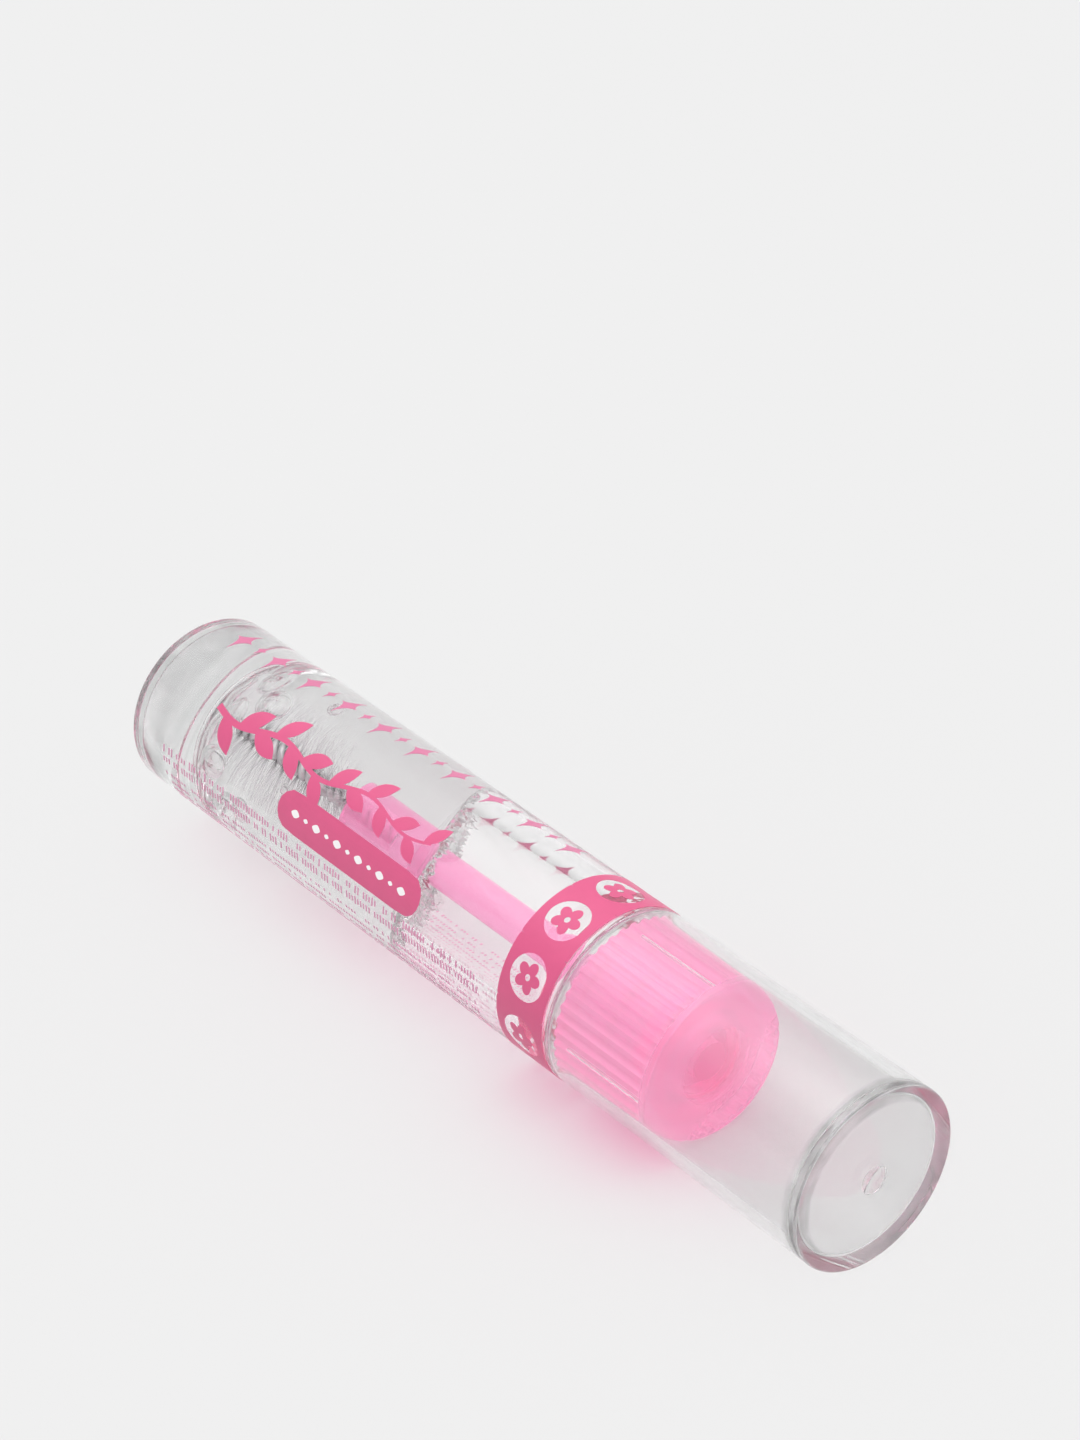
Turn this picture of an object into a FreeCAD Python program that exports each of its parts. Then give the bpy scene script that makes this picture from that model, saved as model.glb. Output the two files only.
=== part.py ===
import FreeCAD, Part
import math
import os
import Sketcher

# A clear mascara tube lying on its side: a heavy-walled bottle with a threaded neck, and a
# two-part cap that carries the stem and the twisted-wire brush.
# Row frame: +X runs along the tube from the base to the cap's end, +Z is up, and the origin is
# below the middle of the tube on the surface that it lies on. Every sub-part is drawn about its
# own X axis, so a point of a profile is (distance along the tube from the base, radius).

SIZES = {
    # outside
    "tube_radius": 9.75,
    "bottle_length": 68.8,
    "cap_gap": 0.2,
    "cap_length": 35.0,
    # bottle
    "base_recess_radius": 7.4,
    "base_recess_depth": 0.8,
    "base_round": 0.6,
    "shoulder_round": 0.4,
    "floor_thickness": 8.0,
    "floor_round": 3.2,
    "bore_radius": 6.6,
    "throat_depth": 2.8,
    "throat_round": 1.4,
    "plinth_height": 1.7,
    "plinth_clearance": 0.15,
    "neck_wall": 1.3,
    "neck_height": 6.4,
    # screw thread
    "thread_lead": 3.0,
    "thread_turns": 1.15,
    "thread_height": 0.85,
    "thread_root_width": 1.3,
    "thread_crest_width": 0.7,
    "thread_setback": 1.3,
    "thread_clearance": 0.3,
    "thread_bite": 0.2,
    # neck wiper
    "wiper_flange_setback": 0.4,
    "wiper_flange_thickness": 0.75,
    "wiper_wall": 0.8,
    "wiper_depth": 10.3,
    "wiper_cone_length": 3.4,
    "wiper_lip_thickness": 0.6,
    "stem_clearance": 0.05,
    # cap insert
    "insert_setback": 1.8,
    "insert_length": 11.9,
    "insert_wall": 1.35,
    "insert_disc_thickness": 2.1,
    "insert_bead_width": 0.8,
    "insert_bead_height": 0.1,
    "boss_wall": 1.5,
    "seal_ring_radius": 5.2,
    "seal_ring_wall": 1.0,
    "seal_gap": 0.05,
    "flute_count": 40,
    "flute_radius": 0.45,
    # overcap
    "overcap_wall": 1.25,
    "overcap_end_thickness": 1.7,
    "overcap_mouth_round": 0.25,
    "overcap_end_round": 0.3,
    "overcap_corner_round": 0.5,
    "gate_radius": 1.1,
    "gate_depth": 0.15,
    "key_rib_count": 4,
    "key_rib_width": 0.3,
    "key_rib_height": 0.33,
    "key_rib_setback": 0.8,
    # stem and brush
    "stem_radius": 2.0,
    "stem_length": 51.7,
    "stem_plug_cover": 1.5,
    "stem_end_round": 0.3,
    "wire_radius": 0.33,
    "wire_spacing": 0.36,
    "wire_pitch": 2.4,
    "wire_clearance": 0.01,
    "wire_hold": 7.5,
    "brush_floor_gap": 1.9,
    "brush_radius": 3.9,
    "brush_tip_radius": 2.4,
    "brush_tip_length": 3.0,
    "brush_heel_radius": 3.2,
    "brush_heel_length": 1.0,
    "wire_tip": 0.4,
    # gel
    "gel_clearance": 0.05,
    "gel_length": 33.0,
    # printed ink
    "ink_thickness": 0.03,
    "band_length": 6.8,
    "window_radius": 2.4,
    "window_count": 9,
    "window_turn": 22.8,
    "panel_start": 25.4,
    "panel_length": 23.1,
    "panel_width": 4.4,
    "panel_turn": 66.0,
}

doc = FreeCAD.newDocument("MascaraTube")
sheet = doc.addObject("Spreadsheet::Sheet", "Sizes")
for row, (alias, number) in enumerate(SIZES.items(), start=1):
    sheet.set(f"A{row}", alias)
    sheet.set(f"B{row}", str(number))
    sheet.setAlias(f"B{row}", alias)
doc.recompute()


class Size:
    """A number with the expression on the sheet that it comes from."""

    def __init__(self, value, text):
        self.value = value
        self.text = text

    def __add__(self, other):
        return Size(self.value + number_of(other), f"({self.text} + {text_of(other)})")

    def __sub__(self, other):
        return Size(self.value - number_of(other), f"({self.text} - {text_of(other)})")

    def __mul__(self, other):
        return Size(self.value * number_of(other), f"({self.text} * {text_of(other)})")

    def __truediv__(self, other):
        return Size(self.value / number_of(other), f"({self.text} / {text_of(other)})")


def number_of(thing):
    return thing.value if isinstance(thing, Size) else float(thing)


def text_of(thing):
    return thing.text if isinstance(thing, Size) else str(thing)


def size(alias):
    return Size(float(SIZES[alias]), f"Sizes.{alias}")


def bind(target, path, value):
    """Tie one property of a document object to its expression."""
    target.setExpression(path, value.text)


# geometry and point numbers that Sketcher gives the origin, the two axes and a curve's points
ORIGIN = -1
AXIS_ALONG = -1
AXIS_ACROSS = -2
START = 1
END = 2
CENTRE = 3

ALONG = FreeCAD.Vector(1, 0, 0)
ACROSS = FreeCAD.Vector(0, 1, 0)
UP = FreeCAD.Vector(0, 0, 1)
SMALLEST_CHANGE = 1e-3  # mm3, what a feature adds or takes away at least


def new_body(label):
    body = doc.addObject("PartDesign::Body", label)
    body.Label = label
    return body


def origin_plane(body, role):
    return next(feature for feature in body.Origin.OriginFeatures if feature.Role == role)


def new_sketch(body, name, role):
    sketch = body.newObject("Sketcher::SketchObject", name)
    sketch.AttachmentSupport = [(origin_plane(body, role), "")]
    sketch.MapMode = "FlatFace"
    return sketch


def place_point(sketch, geometry, end, along, across):
    """Fix one point of a curve at (along, across), each bound to the sheet."""
    for axis, kind, value in ((AXIS_ACROSS, "DistanceX", along), (AXIS_ALONG, "DistanceY", across)):
        if number_of(value) == 0:
            sketch.addConstraint(Sketcher.Constraint("PointOnObject", geometry, end, axis))
            continue
        index = sketch.addConstraint(
            Sketcher.Constraint(kind, ORIGIN, START, geometry, end, number_of(value))
        )
        if isinstance(value, Size):
            sketch.setExpression(f"Constraints[{index}]", value.text)


def fix_radius(sketch, geometry, radius):
    index = sketch.addConstraint(Sketcher.Constraint("Radius", geometry, radius.value))
    sketch.setExpression(f"Constraints[{index}]", radius.text)


def unit_step(first, second):
    """Direction from one corner to the next, for a run along one axis."""
    along = number_of(second[0]) - number_of(first[0])
    across = number_of(second[1]) - number_of(first[1])
    length = abs(along) + abs(across)
    return (round(along / length), round(across / length))


def rounded_corner(before, corner, after):
    """End points and centre of the arc that rounds a square corner (along, across, radius)."""
    radius = corner[2]
    arrive = unit_step(before, corner)
    leave = unit_step(corner, after)
    first = tuple(corner[i] - radius * arrive[i] for i in (0, 1))
    last = tuple(corner[i] + radius * leave[i] for i in (0, 1))
    centre = tuple(first[i] + radius * leave[i] for i in (0, 1))
    turns_left = arrive[0] * leave[1] - arrive[1] * leave[0] > 0
    return first, last, centre, turns_left


def vector(point):
    return FreeCAD.Vector(number_of(point[0]), number_of(point[1]), 0)


def draw_outline(sketch, corners):
    """Closed outline through the corners; a third value rounds that corner."""
    path = []
    for index, corner in enumerate(corners):
        if len(corner) == 2:
            path.append((corner, None))
            continue
        following = corners[(index + 1) % len(corners)]
        first, last, centre, turns_left = rounded_corner(corners[index - 1], corner, following)
        path.append((first, (centre, turns_left, corner[2])))
        path.append((last, None))
    pieces = []
    for index, (point, arc) in enumerate(path):
        following = path[(index + 1) % len(path)][0]
        if arc is None:
            geometry = sketch.addGeometry(Part.LineSegment(vector(point), vector(following)))
            pieces.append((geometry, START, END))
        else:
            centre, turns_left, radius = arc
            from_end, to_end = (START, END) if turns_left else (END, START)
            circle = Part.Circle(vector(centre), UP, radius.value)
            low, high = (point, following) if turns_left else (following, point)
            span = (circle.parameter(vector(low)), circle.parameter(vector(high)))
            geometry = sketch.addGeometry(Part.ArcOfCircle(circle, *span))
            fix_radius(sketch, geometry, radius)
            pieces.append((geometry, from_end, to_end))
    for index, (geometry, from_end, to_end) in enumerate(pieces):
        after, after_end, _ = pieces[(index + 1) % len(pieces)]
        sketch.addConstraint(Sketcher.Constraint("Coincident", geometry, to_end, after, after_end))
        place_point(sketch, geometry, from_end, *path[index][0])


def draw_circle(sketch, along, across, radius):
    """Circle about (along, across), its place and radius bound to the sheet."""
    geometry = sketch.addGeometry(Part.Circle(vector((along, across)), UP, radius.value))
    fix_radius(sketch, geometry, radius)
    place_point(sketch, geometry, CENTRE, along, across)


def turned(label, corners):
    """A body turned about the tube's axis from its half outline."""
    body = new_body(label)
    sketch = new_sketch(body, f"{label}_outline", "XZ_Plane")
    draw_outline(sketch, corners)
    doc.recompute()
    revolution = body.newObject("PartDesign::Revolution", f"{label}_turned")
    revolution.Profile = sketch
    revolution.ReferenceAxis = (sketch, ["H_Axis"])
    revolution.Angle = 360
    body.Tip = revolution
    doc.recompute()
    return body


def polar_copies(body, feature, count):
    """Repeat a feature evenly about the tube's axis."""
    pattern = body.newObject("PartDesign::PolarPattern", f"{feature.Name}_ring")
    pattern.Originals = [feature]
    pattern.Axis = (origin_plane(body, "X_Axis"), [""])
    pattern.Angle = 360
    bind(pattern, "Occurrences", count)
    body.Tip = pattern
    doc.recompute()
    return pattern


def add_thread(body, root_radius, crest_radius, bite_radius, start):
    """Right-hand ridge; bite_radius sinks its foot into the wall that carries it."""
    sketch = new_sketch(body, f"{body.Label}_thread_section", "XZ_Plane")
    half_root = size("thread_root_width") / 2
    half_crest = size("thread_crest_width") / 2
    draw_outline(
        sketch,
        [
            (start - half_root, bite_radius),
            (start + half_root, bite_radius),
            (start + half_root, root_radius),
            (start + half_crest, crest_radius),
            (start - half_crest, crest_radius),
            (start - half_root, root_radius),
        ],
    )
    doc.recompute()
    helix = body.newObject("PartDesign::AdditiveHelix", f"{body.Label}_thread")
    helix.Profile = sketch
    helix.ReferenceAxis = (sketch, ["H_Axis"])
    helix.Mode = "pitch-turns-angle"
    helix.LeftHanded = False
    bind(helix, "Pitch", size("thread_lead"))
    bind(helix, "Turns", size("thread_turns"))
    body.Tip = helix
    doc.recompute()


def turn(thing, axis, angle):
    """Turn a document object about an axis, by an angle in degrees."""
    thing.Placement = FreeCAD.Placement(FreeCAD.Vector(), FreeCAD.Rotation(axis, angle.value))
    bind(thing, "Placement.Rotation.Angle", angle)


def check_change(body, before, grows):
    """Stop when a feature left the solid as it was."""
    change = body.Shape.Volume - before
    if abs(change) < SMALLEST_CHANGE or (change > 0) != grows:
        raise RuntimeError(f"{body.Label}: the last feature changed the volume by {change}")


# ---- stations along the tube and radii that several pieces share ----
tube_radius = size("tube_radius")
shoulder = size("bottle_length")
bore_floor = size("floor_thickness")
bore_top = shoulder - size("throat_depth")
bore_radius = size("bore_radius")
plinth_top = shoulder + size("plinth_height")
neck_top = plinth_top + size("neck_height")
wiper_top = neck_top + size("wiper_flange_thickness")
overcap_mouth = shoulder + size("cap_gap")
overcap_end = overcap_mouth + size("cap_length")
overcap_bore = tube_radius - size("overcap_wall")
insert_foot = overcap_mouth + size("insert_setback")
insert_top = insert_foot + size("insert_length")
insert_ceiling = insert_top - size("insert_disc_thickness")
insert_radius = overcap_bore - size("insert_bead_height")
insert_bore = insert_radius - size("insert_wall")
neck_radius = insert_bore - size("thread_height") - size("thread_clearance")
neck_bore = neck_radius - size("neck_wall")
bead_foot = insert_top - size("insert_bead_width")
seal_face = wiper_top + size("seal_gap")
stem_radius = size("stem_radius")
stem_top = insert_top - size("stem_plug_cover")
stem_foot = stem_top - size("stem_length")
wire_envelope = size("wire_spacing") + size("wire_radius")
wire_hole = wire_envelope + size("wire_clearance")
wire_top = stem_foot + size("wire_hold")
wire_hole_end = wire_top + size("wire_radius")
brush_top = stem_foot - size("wire_tip")
wire_foot = bore_floor + size("brush_floor_gap")
brush_foot = wire_foot + size("wire_tip")
thread_start = plinth_top + size("thread_setback")
ZERO = Size(0.0, "0")
HALF_TURN = Size(180.0, "180")


def make_bottle():
    """Heavy clear bottle: recessed base, round-bottomed bore, plinth and threaded neck."""
    plinth_radius = overcap_bore - size("plinth_clearance")
    body = turned(
        "bottle",
        [
            (size("base_recess_depth"), ZERO),
            (size("base_recess_depth"), size("base_recess_radius")),
            (ZERO, size("base_recess_radius")),
            (ZERO, tube_radius, size("base_round")),
            (shoulder, tube_radius, size("shoulder_round")),
            (shoulder, plinth_radius),
            (plinth_top, plinth_radius),
            (plinth_top, neck_radius),
            (neck_top, neck_radius),
            (neck_top, neck_bore),
            (bore_top, neck_bore),
            (bore_top, bore_radius, size("throat_round")),
            (bore_floor, bore_radius, size("floor_round")),
            (bore_floor, ZERO),
        ],
    )
    plain = body.Shape.Volume
    crest = neck_radius + size("thread_height")
    add_thread(body, neck_radius, crest, neck_radius - size("thread_bite"), thread_start)
    check_change(body, plain, grows=True)
    return body


def make_wiper():
    """Soft sleeve pressed into the neck; its lip strips the stem and the brush."""
    foot = neck_top - size("wiper_depth")
    cone_top = foot + size("wiper_cone_length")
    inner = neck_bore - size("wiper_wall")
    orifice = stem_radius + size("stem_clearance")
    lip = size("wiper_lip_thickness")
    flange_radius = neck_radius - size("wiper_flange_setback")
    return turned(
        "neck_wiper",
        [
            (wiper_top, inner),
            (wiper_top, flange_radius),
            (neck_top, flange_radius),
            (neck_top, neck_bore),
            (cone_top, neck_bore),
            (foot, orifice + lip),
            (foot, orifice),
            (foot + lip, orifice),
            (cone_top + lip / 2, inner),
        ],
    )


def make_insert():
    """Fluted cap insert: inside thread, seal ring and the boss that holds the stem."""
    boss_radius = stem_radius + size("boss_wall")
    ring_inner = size("seal_ring_radius") - size("seal_ring_wall")
    body = turned(
        "cap_insert",
        [
            (insert_foot, insert_bore),
            (insert_foot, insert_radius),
            (bead_foot, insert_radius),
            (bead_foot, overcap_bore),
            (insert_top, overcap_bore),
            (insert_top, ZERO),
            (stem_top, ZERO),
            (stem_top, stem_radius),
            (seal_face, stem_radius),
            (seal_face, boss_radius),
            (insert_ceiling, boss_radius),
            (insert_ceiling, ring_inner),
            (seal_face, ring_inner),
            (seal_face, size("seal_ring_radius")),
            (insert_ceiling, size("seal_ring_radius")),
            (insert_ceiling, insert_bore),
        ],
    )
    plain = body.Shape.Volume
    crest = insert_bore - size("thread_height")
    half_lead = size("thread_lead") / 2
    add_thread(body, insert_bore, crest, insert_bore + size("thread_bite"), thread_start + half_lead)
    check_change(body, plain, grows=True)
    threaded = body.Shape.Volume
    sketch = new_sketch(body, "flute_section", "YZ_Plane")
    draw_circle(sketch, ZERO, overcap_bore, size("flute_radius"))
    bind(sketch, "AttachmentOffset.Base.z", insert_foot)
    doc.recompute()
    flute = body.newObject("PartDesign::Pocket", "flute")
    flute.Profile = sketch
    flute.Reversed = True
    bind(flute, "Length", size("insert_length") - size("insert_bead_width"))
    body.Tip = flute
    doc.recompute()
    polar_copies(body, flute, size("flute_count"))
    check_change(body, threaded, grows=False)
    return body


def make_overcap():
    """Clear outer cap with a closed flat end and thin ribs that key the insert."""
    floor = overcap_end - size("overcap_end_thickness")
    body = turned(
        "overcap",
        [
            (overcap_mouth, overcap_bore),
            (overcap_mouth, tube_radius, size("overcap_mouth_round")),
            (overcap_end, tube_radius, size("overcap_end_round")),
            (overcap_end, size("gate_radius")),
            (overcap_end - size("gate_depth"), size("gate_radius")),
            (overcap_end - size("gate_depth"), ZERO),
            (floor, ZERO),
            (floor, overcap_bore, size("overcap_corner_round")),
        ],
    )
    plain = body.Shape.Volume
    rib_start = insert_foot + size("key_rib_setback")
    sketch = new_sketch(body, "key_rib_section", "YZ_Plane")
    half_width = size("key_rib_width") / 2
    rib_top = overcap_bore + size("overcap_wall") / 2
    rib_foot = overcap_bore - size("key_rib_height")
    draw_outline(
        sketch,
        [
            (half_width * -1, rib_foot),
            (half_width, rib_foot),
            (half_width, rib_top),
            (half_width * -1, rib_top),
        ],
    )
    bind(sketch, "AttachmentOffset.Base.z", rib_start)
    doc.recompute()
    rib = body.newObject("PartDesign::Pad", "key_rib")
    rib.Profile = sketch
    bind(rib, "Length", bead_foot - rib_start)
    body.Tip = rib
    doc.recompute()
    polar_copies(body, rib, size("key_rib_count"))
    check_change(body, plain, grows=True)
    return body


def make_stem():
    """Plain round stem, drilled at its foot for the brush wire."""
    return turned(
        "brush_stem",
        [
            (stem_top, ZERO),
            (stem_top, stem_radius),
            (stem_foot, stem_radius, size("stem_end_round")),
            (stem_foot, wire_hole),
            (wire_hole_end, wire_hole),
            (wire_hole_end, ZERO),
        ],
    )


def make_bristles():
    """Outer shape of the bristle field, open round the twisted wire."""
    heel = brush_top - size("brush_heel_length")
    tip = brush_foot + size("brush_tip_length")
    return turned(
        "bristles",
        [
            (brush_foot, wire_hole),
            (brush_top, wire_hole),
            (brush_top, size("brush_heel_radius")),
            (heel, size("brush_radius")),
            (tip, size("brush_radius")),
            (brush_foot, size("brush_tip_radius")),
        ],
    )


def make_gel():
    """Gel from the bore's floor to the fill line, hollow where the brush and stem stand."""
    clearance = size("gel_clearance")
    floor = bore_floor + clearance
    top = bore_floor + size("gel_length")
    tip = wire_foot - size("wire_radius") - clearance
    return turned(
        "gel_fill",
        [
            (floor, ZERO),
            (tip, ZERO),
            (tip, size("brush_radius") + clearance),
            (stem_foot, size("brush_radius") + clearance),
            (stem_foot, stem_radius + clearance),
            (top, stem_radius + clearance),
            (top, bore_radius - clearance),
            (floor, bore_radius - clearance, size("floor_round")),
        ],
    )


def make_wire():
    """Two strands of one folded wire, twisted together with the bristles between them."""
    slope = size("wire_spacing") / size("wire_pitch") * 2
    climb = Size(math.degrees(math.atan(math.pi * slope.value)), f"atan(pi * {slope.text})")
    strands = []
    for index in range(2):
        helix = doc.addObject("Part::Helix", f"strand_path_{index + 1}")
        helix.LocalCoord = 0
        bind(helix, "Pitch", size("wire_pitch"))
        bind(helix, "Height", wire_top - wire_foot)
        bind(helix, "Radius", size("wire_spacing"))
        section = doc.addObject("Part::Circle", f"strand_section_{index + 1}")
        turn(section, ALONG * -1, climb)
        bind(section, "Radius", size("wire_radius"))
        bind(section, "Placement.Base.x", size("wire_spacing"))
        strand = doc.addObject("Part::Sweep", f"strand_{index + 1}")
        strand.Sections = [section]
        strand.Spine = (helix, [])
        strand.Solid = True
        strand.Frenet = True
        strands.append(strand)
    turn(strands[1], UP, HALF_TURN)
    wire = doc.addObject("Part::Compound", "twisted_wire")
    wire.Label = "twisted_wire"
    wire.Links = strands
    turn(wire, ACROSS, HALF_TURN / 2)
    doc.recompute()
    return wire


def make_band():
    """Ring of ink at the shoulder, with a row of round windows."""
    ink_radius = tube_radius + size("ink_thickness")
    band_end = shoulder - size("shoulder_round")
    band_start = band_end - size("band_length")
    body = turned(
        "printed_band",
        [
            (band_start, tube_radius),
            (band_end, tube_radius),
            (band_end, ink_radius),
            (band_start, ink_radius),
        ],
    )
    plain = body.Shape.Volume
    sketch = new_sketch(body, "window_section", "XY_Plane")
    draw_circle(sketch, band_start + size("band_length") / 2, ZERO, size("window_radius"))
    doc.recompute()
    window = body.newObject("PartDesign::Pocket", "window")
    window.Profile = sketch
    window.Reversed = True
    bind(window, "Length", ink_radius + size("ink_thickness"))
    body.Tip = window
    doc.recompute()
    polar_copies(body, window, size("window_count"))
    check_change(body, plain, grows=False)
    turn(body, ALONG, size("window_turn"))
    return body


def make_panel():
    """Long ink panel with round ends, wrapped on the bottle's side."""
    start = size("panel_start")
    length = size("panel_length")
    half_width = size("panel_width") / 2
    ink_radius = tube_radius + size("ink_thickness")
    sleeve = turned(
        "panel_sleeve",
        [
            (start, tube_radius),
            (start + length, tube_radius),
            (start + length, ink_radius),
            (start, ink_radius),
        ],
    )
    bar = doc.addObject("Part::Box", "panel_bar")
    bind(bar, "Length", length - half_width * 2)
    bind(bar, "Width", half_width * 2)
    bind(bar, "Placement.Base.x", start + half_width)
    bind(bar, "Placement.Base.y", half_width * -1)
    ends = []
    for name, centre in (("first", start + half_width), ("last", start + length - half_width)):
        end = doc.addObject("Part::Cylinder", f"panel_{name}_end")
        bind(end, "Radius", half_width)
        bind(end, "Placement.Base.x", centre)
        ends.append(end)
    for solid in [bar] + ends:
        bind(solid, "Height", ink_radius + size("ink_thickness"))
    cutter = doc.addObject("Part::MultiFuse", "panel_cutter")
    cutter.Shapes = [bar] + ends
    panel = doc.addObject("Part::Common", "printed_panel")
    panel.Base = sleeve
    panel.Tool = cutter
    doc.recompute()
    turn(panel, ALONG, size("panel_turn"))
    return panel


makers = (
    make_bottle, make_wiper, make_gel, make_band, make_panel, make_insert, make_overcap,
    make_stem, make_wire, make_bristles,
)
sub_parts = [make() for make in makers]
for part in sub_parts:
    # the wire is drawn from its own foot, everything else from the base
    start = wire_foot if part.Label == "twisted_wire" else ZERO
    bind(part, "Placement.Base.x", start - overcap_end / 2)
    bind(part, "Placement.Base.z", tube_radius + size("ink_thickness"))
doc.recompute()

for thing in doc.Objects:
    if "Invalid" in thing.State or "Error" in thing.State:
        raise RuntimeError(f"{thing.Label} failed: {thing.State}")
for part in sub_parts:
    if part.Shape.isNull() or not part.Shape.isValid():
        raise RuntimeError(f"{part.Label} has no valid shape")

os.makedirs("parts", exist_ok=True)
for part in sub_parts:
    part.Shape.exportStep(f"parts/{part.Label}.step")
    box = part.Shape.BoundBox
    print(f"{part.Label}: {len(part.Shape.Solids)} solids, {part.Shape.Volume:.2f} mm3, {box}")
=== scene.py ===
"""Dresses a clear mascara tube that lies on its side: smooth clear shells, gel with air in it, a
wound brush, a translucent pink cap insert and printed ink, on a pale studio floor."""

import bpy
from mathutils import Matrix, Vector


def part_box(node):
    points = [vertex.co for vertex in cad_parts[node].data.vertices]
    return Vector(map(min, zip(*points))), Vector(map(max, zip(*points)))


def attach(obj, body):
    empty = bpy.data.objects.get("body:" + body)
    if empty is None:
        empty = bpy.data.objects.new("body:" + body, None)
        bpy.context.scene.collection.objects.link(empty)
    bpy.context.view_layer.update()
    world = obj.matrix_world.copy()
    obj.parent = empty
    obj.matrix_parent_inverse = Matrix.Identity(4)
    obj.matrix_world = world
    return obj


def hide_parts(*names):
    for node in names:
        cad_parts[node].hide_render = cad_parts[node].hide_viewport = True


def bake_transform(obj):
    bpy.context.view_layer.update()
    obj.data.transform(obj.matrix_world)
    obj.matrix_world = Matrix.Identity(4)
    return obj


bl_info = {
    "name": "Mascara tube",
    "version": (1, 0, 0),
    "blender": (4, 5, 0),
    "location": "3D View > Sidebar > Tube",
    "description": "Clear mascara tube with gel, brush, pink cap insert and printed ink",
    "category": "Object",
}

import math
from typing import NamedTuple

import bmesh
import bpy
from bpy.props import FloatProperty, FloatVectorProperty, IntProperty, PointerProperty
from mathutils import Matrix, Vector, noise

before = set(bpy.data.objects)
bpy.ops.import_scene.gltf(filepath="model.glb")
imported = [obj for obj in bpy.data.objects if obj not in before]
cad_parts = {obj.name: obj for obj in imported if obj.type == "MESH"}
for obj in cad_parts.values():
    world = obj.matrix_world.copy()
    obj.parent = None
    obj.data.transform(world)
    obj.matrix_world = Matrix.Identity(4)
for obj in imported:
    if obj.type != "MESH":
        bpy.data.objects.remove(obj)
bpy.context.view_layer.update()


# ---------------------------------------------------------------- places read from the frame
def reach(node):
    """A node's first and last place along the tube, and its radius."""
    low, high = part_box(node)
    return low.x, high.x, (high.z - low.z) / 2


BASE, NECK_TOP, _ = reach("bottle")
MOUTH, CAP_END, TUBE_RADIUS = reach("overcap")
INSERT_FOOT, INSERT_TOP, CAP_BORE = reach("cap_insert")
STEM_FOOT, STEM_TOP, STEM_RADIUS = reach("brush_stem")
_, WIPER_TOP, _ = reach("neck_wiper")
GEL_FLOOR, GEL_TOP, GEL_RADIUS = reach("gel_fill")
BRUSH_FOOT, BRUSH_HEEL, BRUSH_RADIUS = reach("bristles")
BAND_START, BAND_END, INK_RADIUS = reach("printed_band")
PANEL_START, PANEL_END, _ = reach("printed_panel")
AXIS_HEIGHT = (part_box("overcap")[0].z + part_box("overcap")[1].z) / 2

FULL_TURN = 2 * math.pi
HAIR = 1e-6  # places nearer to each other than this, in metres, count as one
WELD = 1e-7  # corners of a print nearer than this are joined
WALL_SIDES = 192  # flat sides round the bottle and the overcap
GEL_SIDES = 240
STEM_SIDES = 96
FLUTE_SIDES = 12  # for each flute of the insert
THREAD_RINGS = 0.00015  # distance between the rings that carry the thread's ridge
PLASTIC_IOR = 1.5
GEL_IOR = 1.36
WHITE = (1.0, 1.0, 1.0)


# ---------------------------------------------------------------- settings
def length(name, description, default):
    return FloatProperty(
        name=name, description=description, default=default, unit="LENGTH", precision=5
    )


def angle(name, description, degrees):
    return FloatProperty(
        name=name, description=description, default=math.radians(degrees), subtype="ANGLE"
    )


def colour(name, description, default):
    return FloatVectorProperty(
        name=name, description=description, default=default, subtype="COLOR", size=3, min=0, max=1
    )


def number(name, description, default):
    return FloatProperty(name=name, description=description, default=default)


def count(name, description, default):
    return IntProperty(name=name, description=description, default=default)


class BottleSettings(bpy.types.PropertyGroup):
    """Walls and rounds of the clear bottle."""

    recess_radius: length("Recess radius", "Radius of the hollow under the base", 0.0074)
    recess_depth: length("Recess depth", "Depth of the hollow under the base", 0.0008)
    recess_round: length("Recess round", "Radius inside that hollow", 0.0003)
    base_round: length("Base round", "Radius of the base's outer edge", 0.0006)
    fine_round: length("Fine round", "Radius of the hollow's edge and of the throat's", 0.0002)
    shoulder_gap: length("Shoulder gap", "Gap between the shoulder and the cap's mouth", 0.0002)
    shoulder_round: length("Shoulder round", "Radius of the shoulder's edge", 0.0004)
    bore_clearance: length("Bore clearance", "What the solid gel stands clear of the bore", 0.00005)
    floor_round: length("Floor round", "Radius where the bore's wall meets its floor", 0.0032)
    throat_depth: length("Throat depth", "From the shoulder down to the bore's top", 0.0028)
    throat_round: length("Throat round", "Radius where the bore's wall meets the throat", 0.0014)
    plinth_height: length("Plinth height", "Step between the shoulder and the neck", 0.0017)
    plinth_radius: length("Plinth radius", "Radius of that step", 0.0069)
    plinth_round: length("Plinth round", "Radius of that step's edge", 0.00015)
    neck_radius: length("Neck radius", "Outside radius of the neck", 0.0059)
    neck_bore: length("Neck bore", "Inside radius of the neck", 0.0046)
    thread_lead: length("Thread lead", "Rise of the thread in one turn", 0.003)
    thread_height: length("Thread height", "Height of the thread's ridge", 0.00085)
    thread_root: length("Thread root", "Width of the ridge at its root", 0.0013)
    thread_crest: length("Thread crest", "Width of the ridge at its crest", 0.0007)
    thread_setback: length("Thread setback", "From the plinth to the thread's first turn", 0.0013)
    thread_turns: number("Thread turns", "Turns of the ridge", 1.15)
    run_out: number("Run-out", "Turns in which the ridge fades at each end", 0.04)


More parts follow.
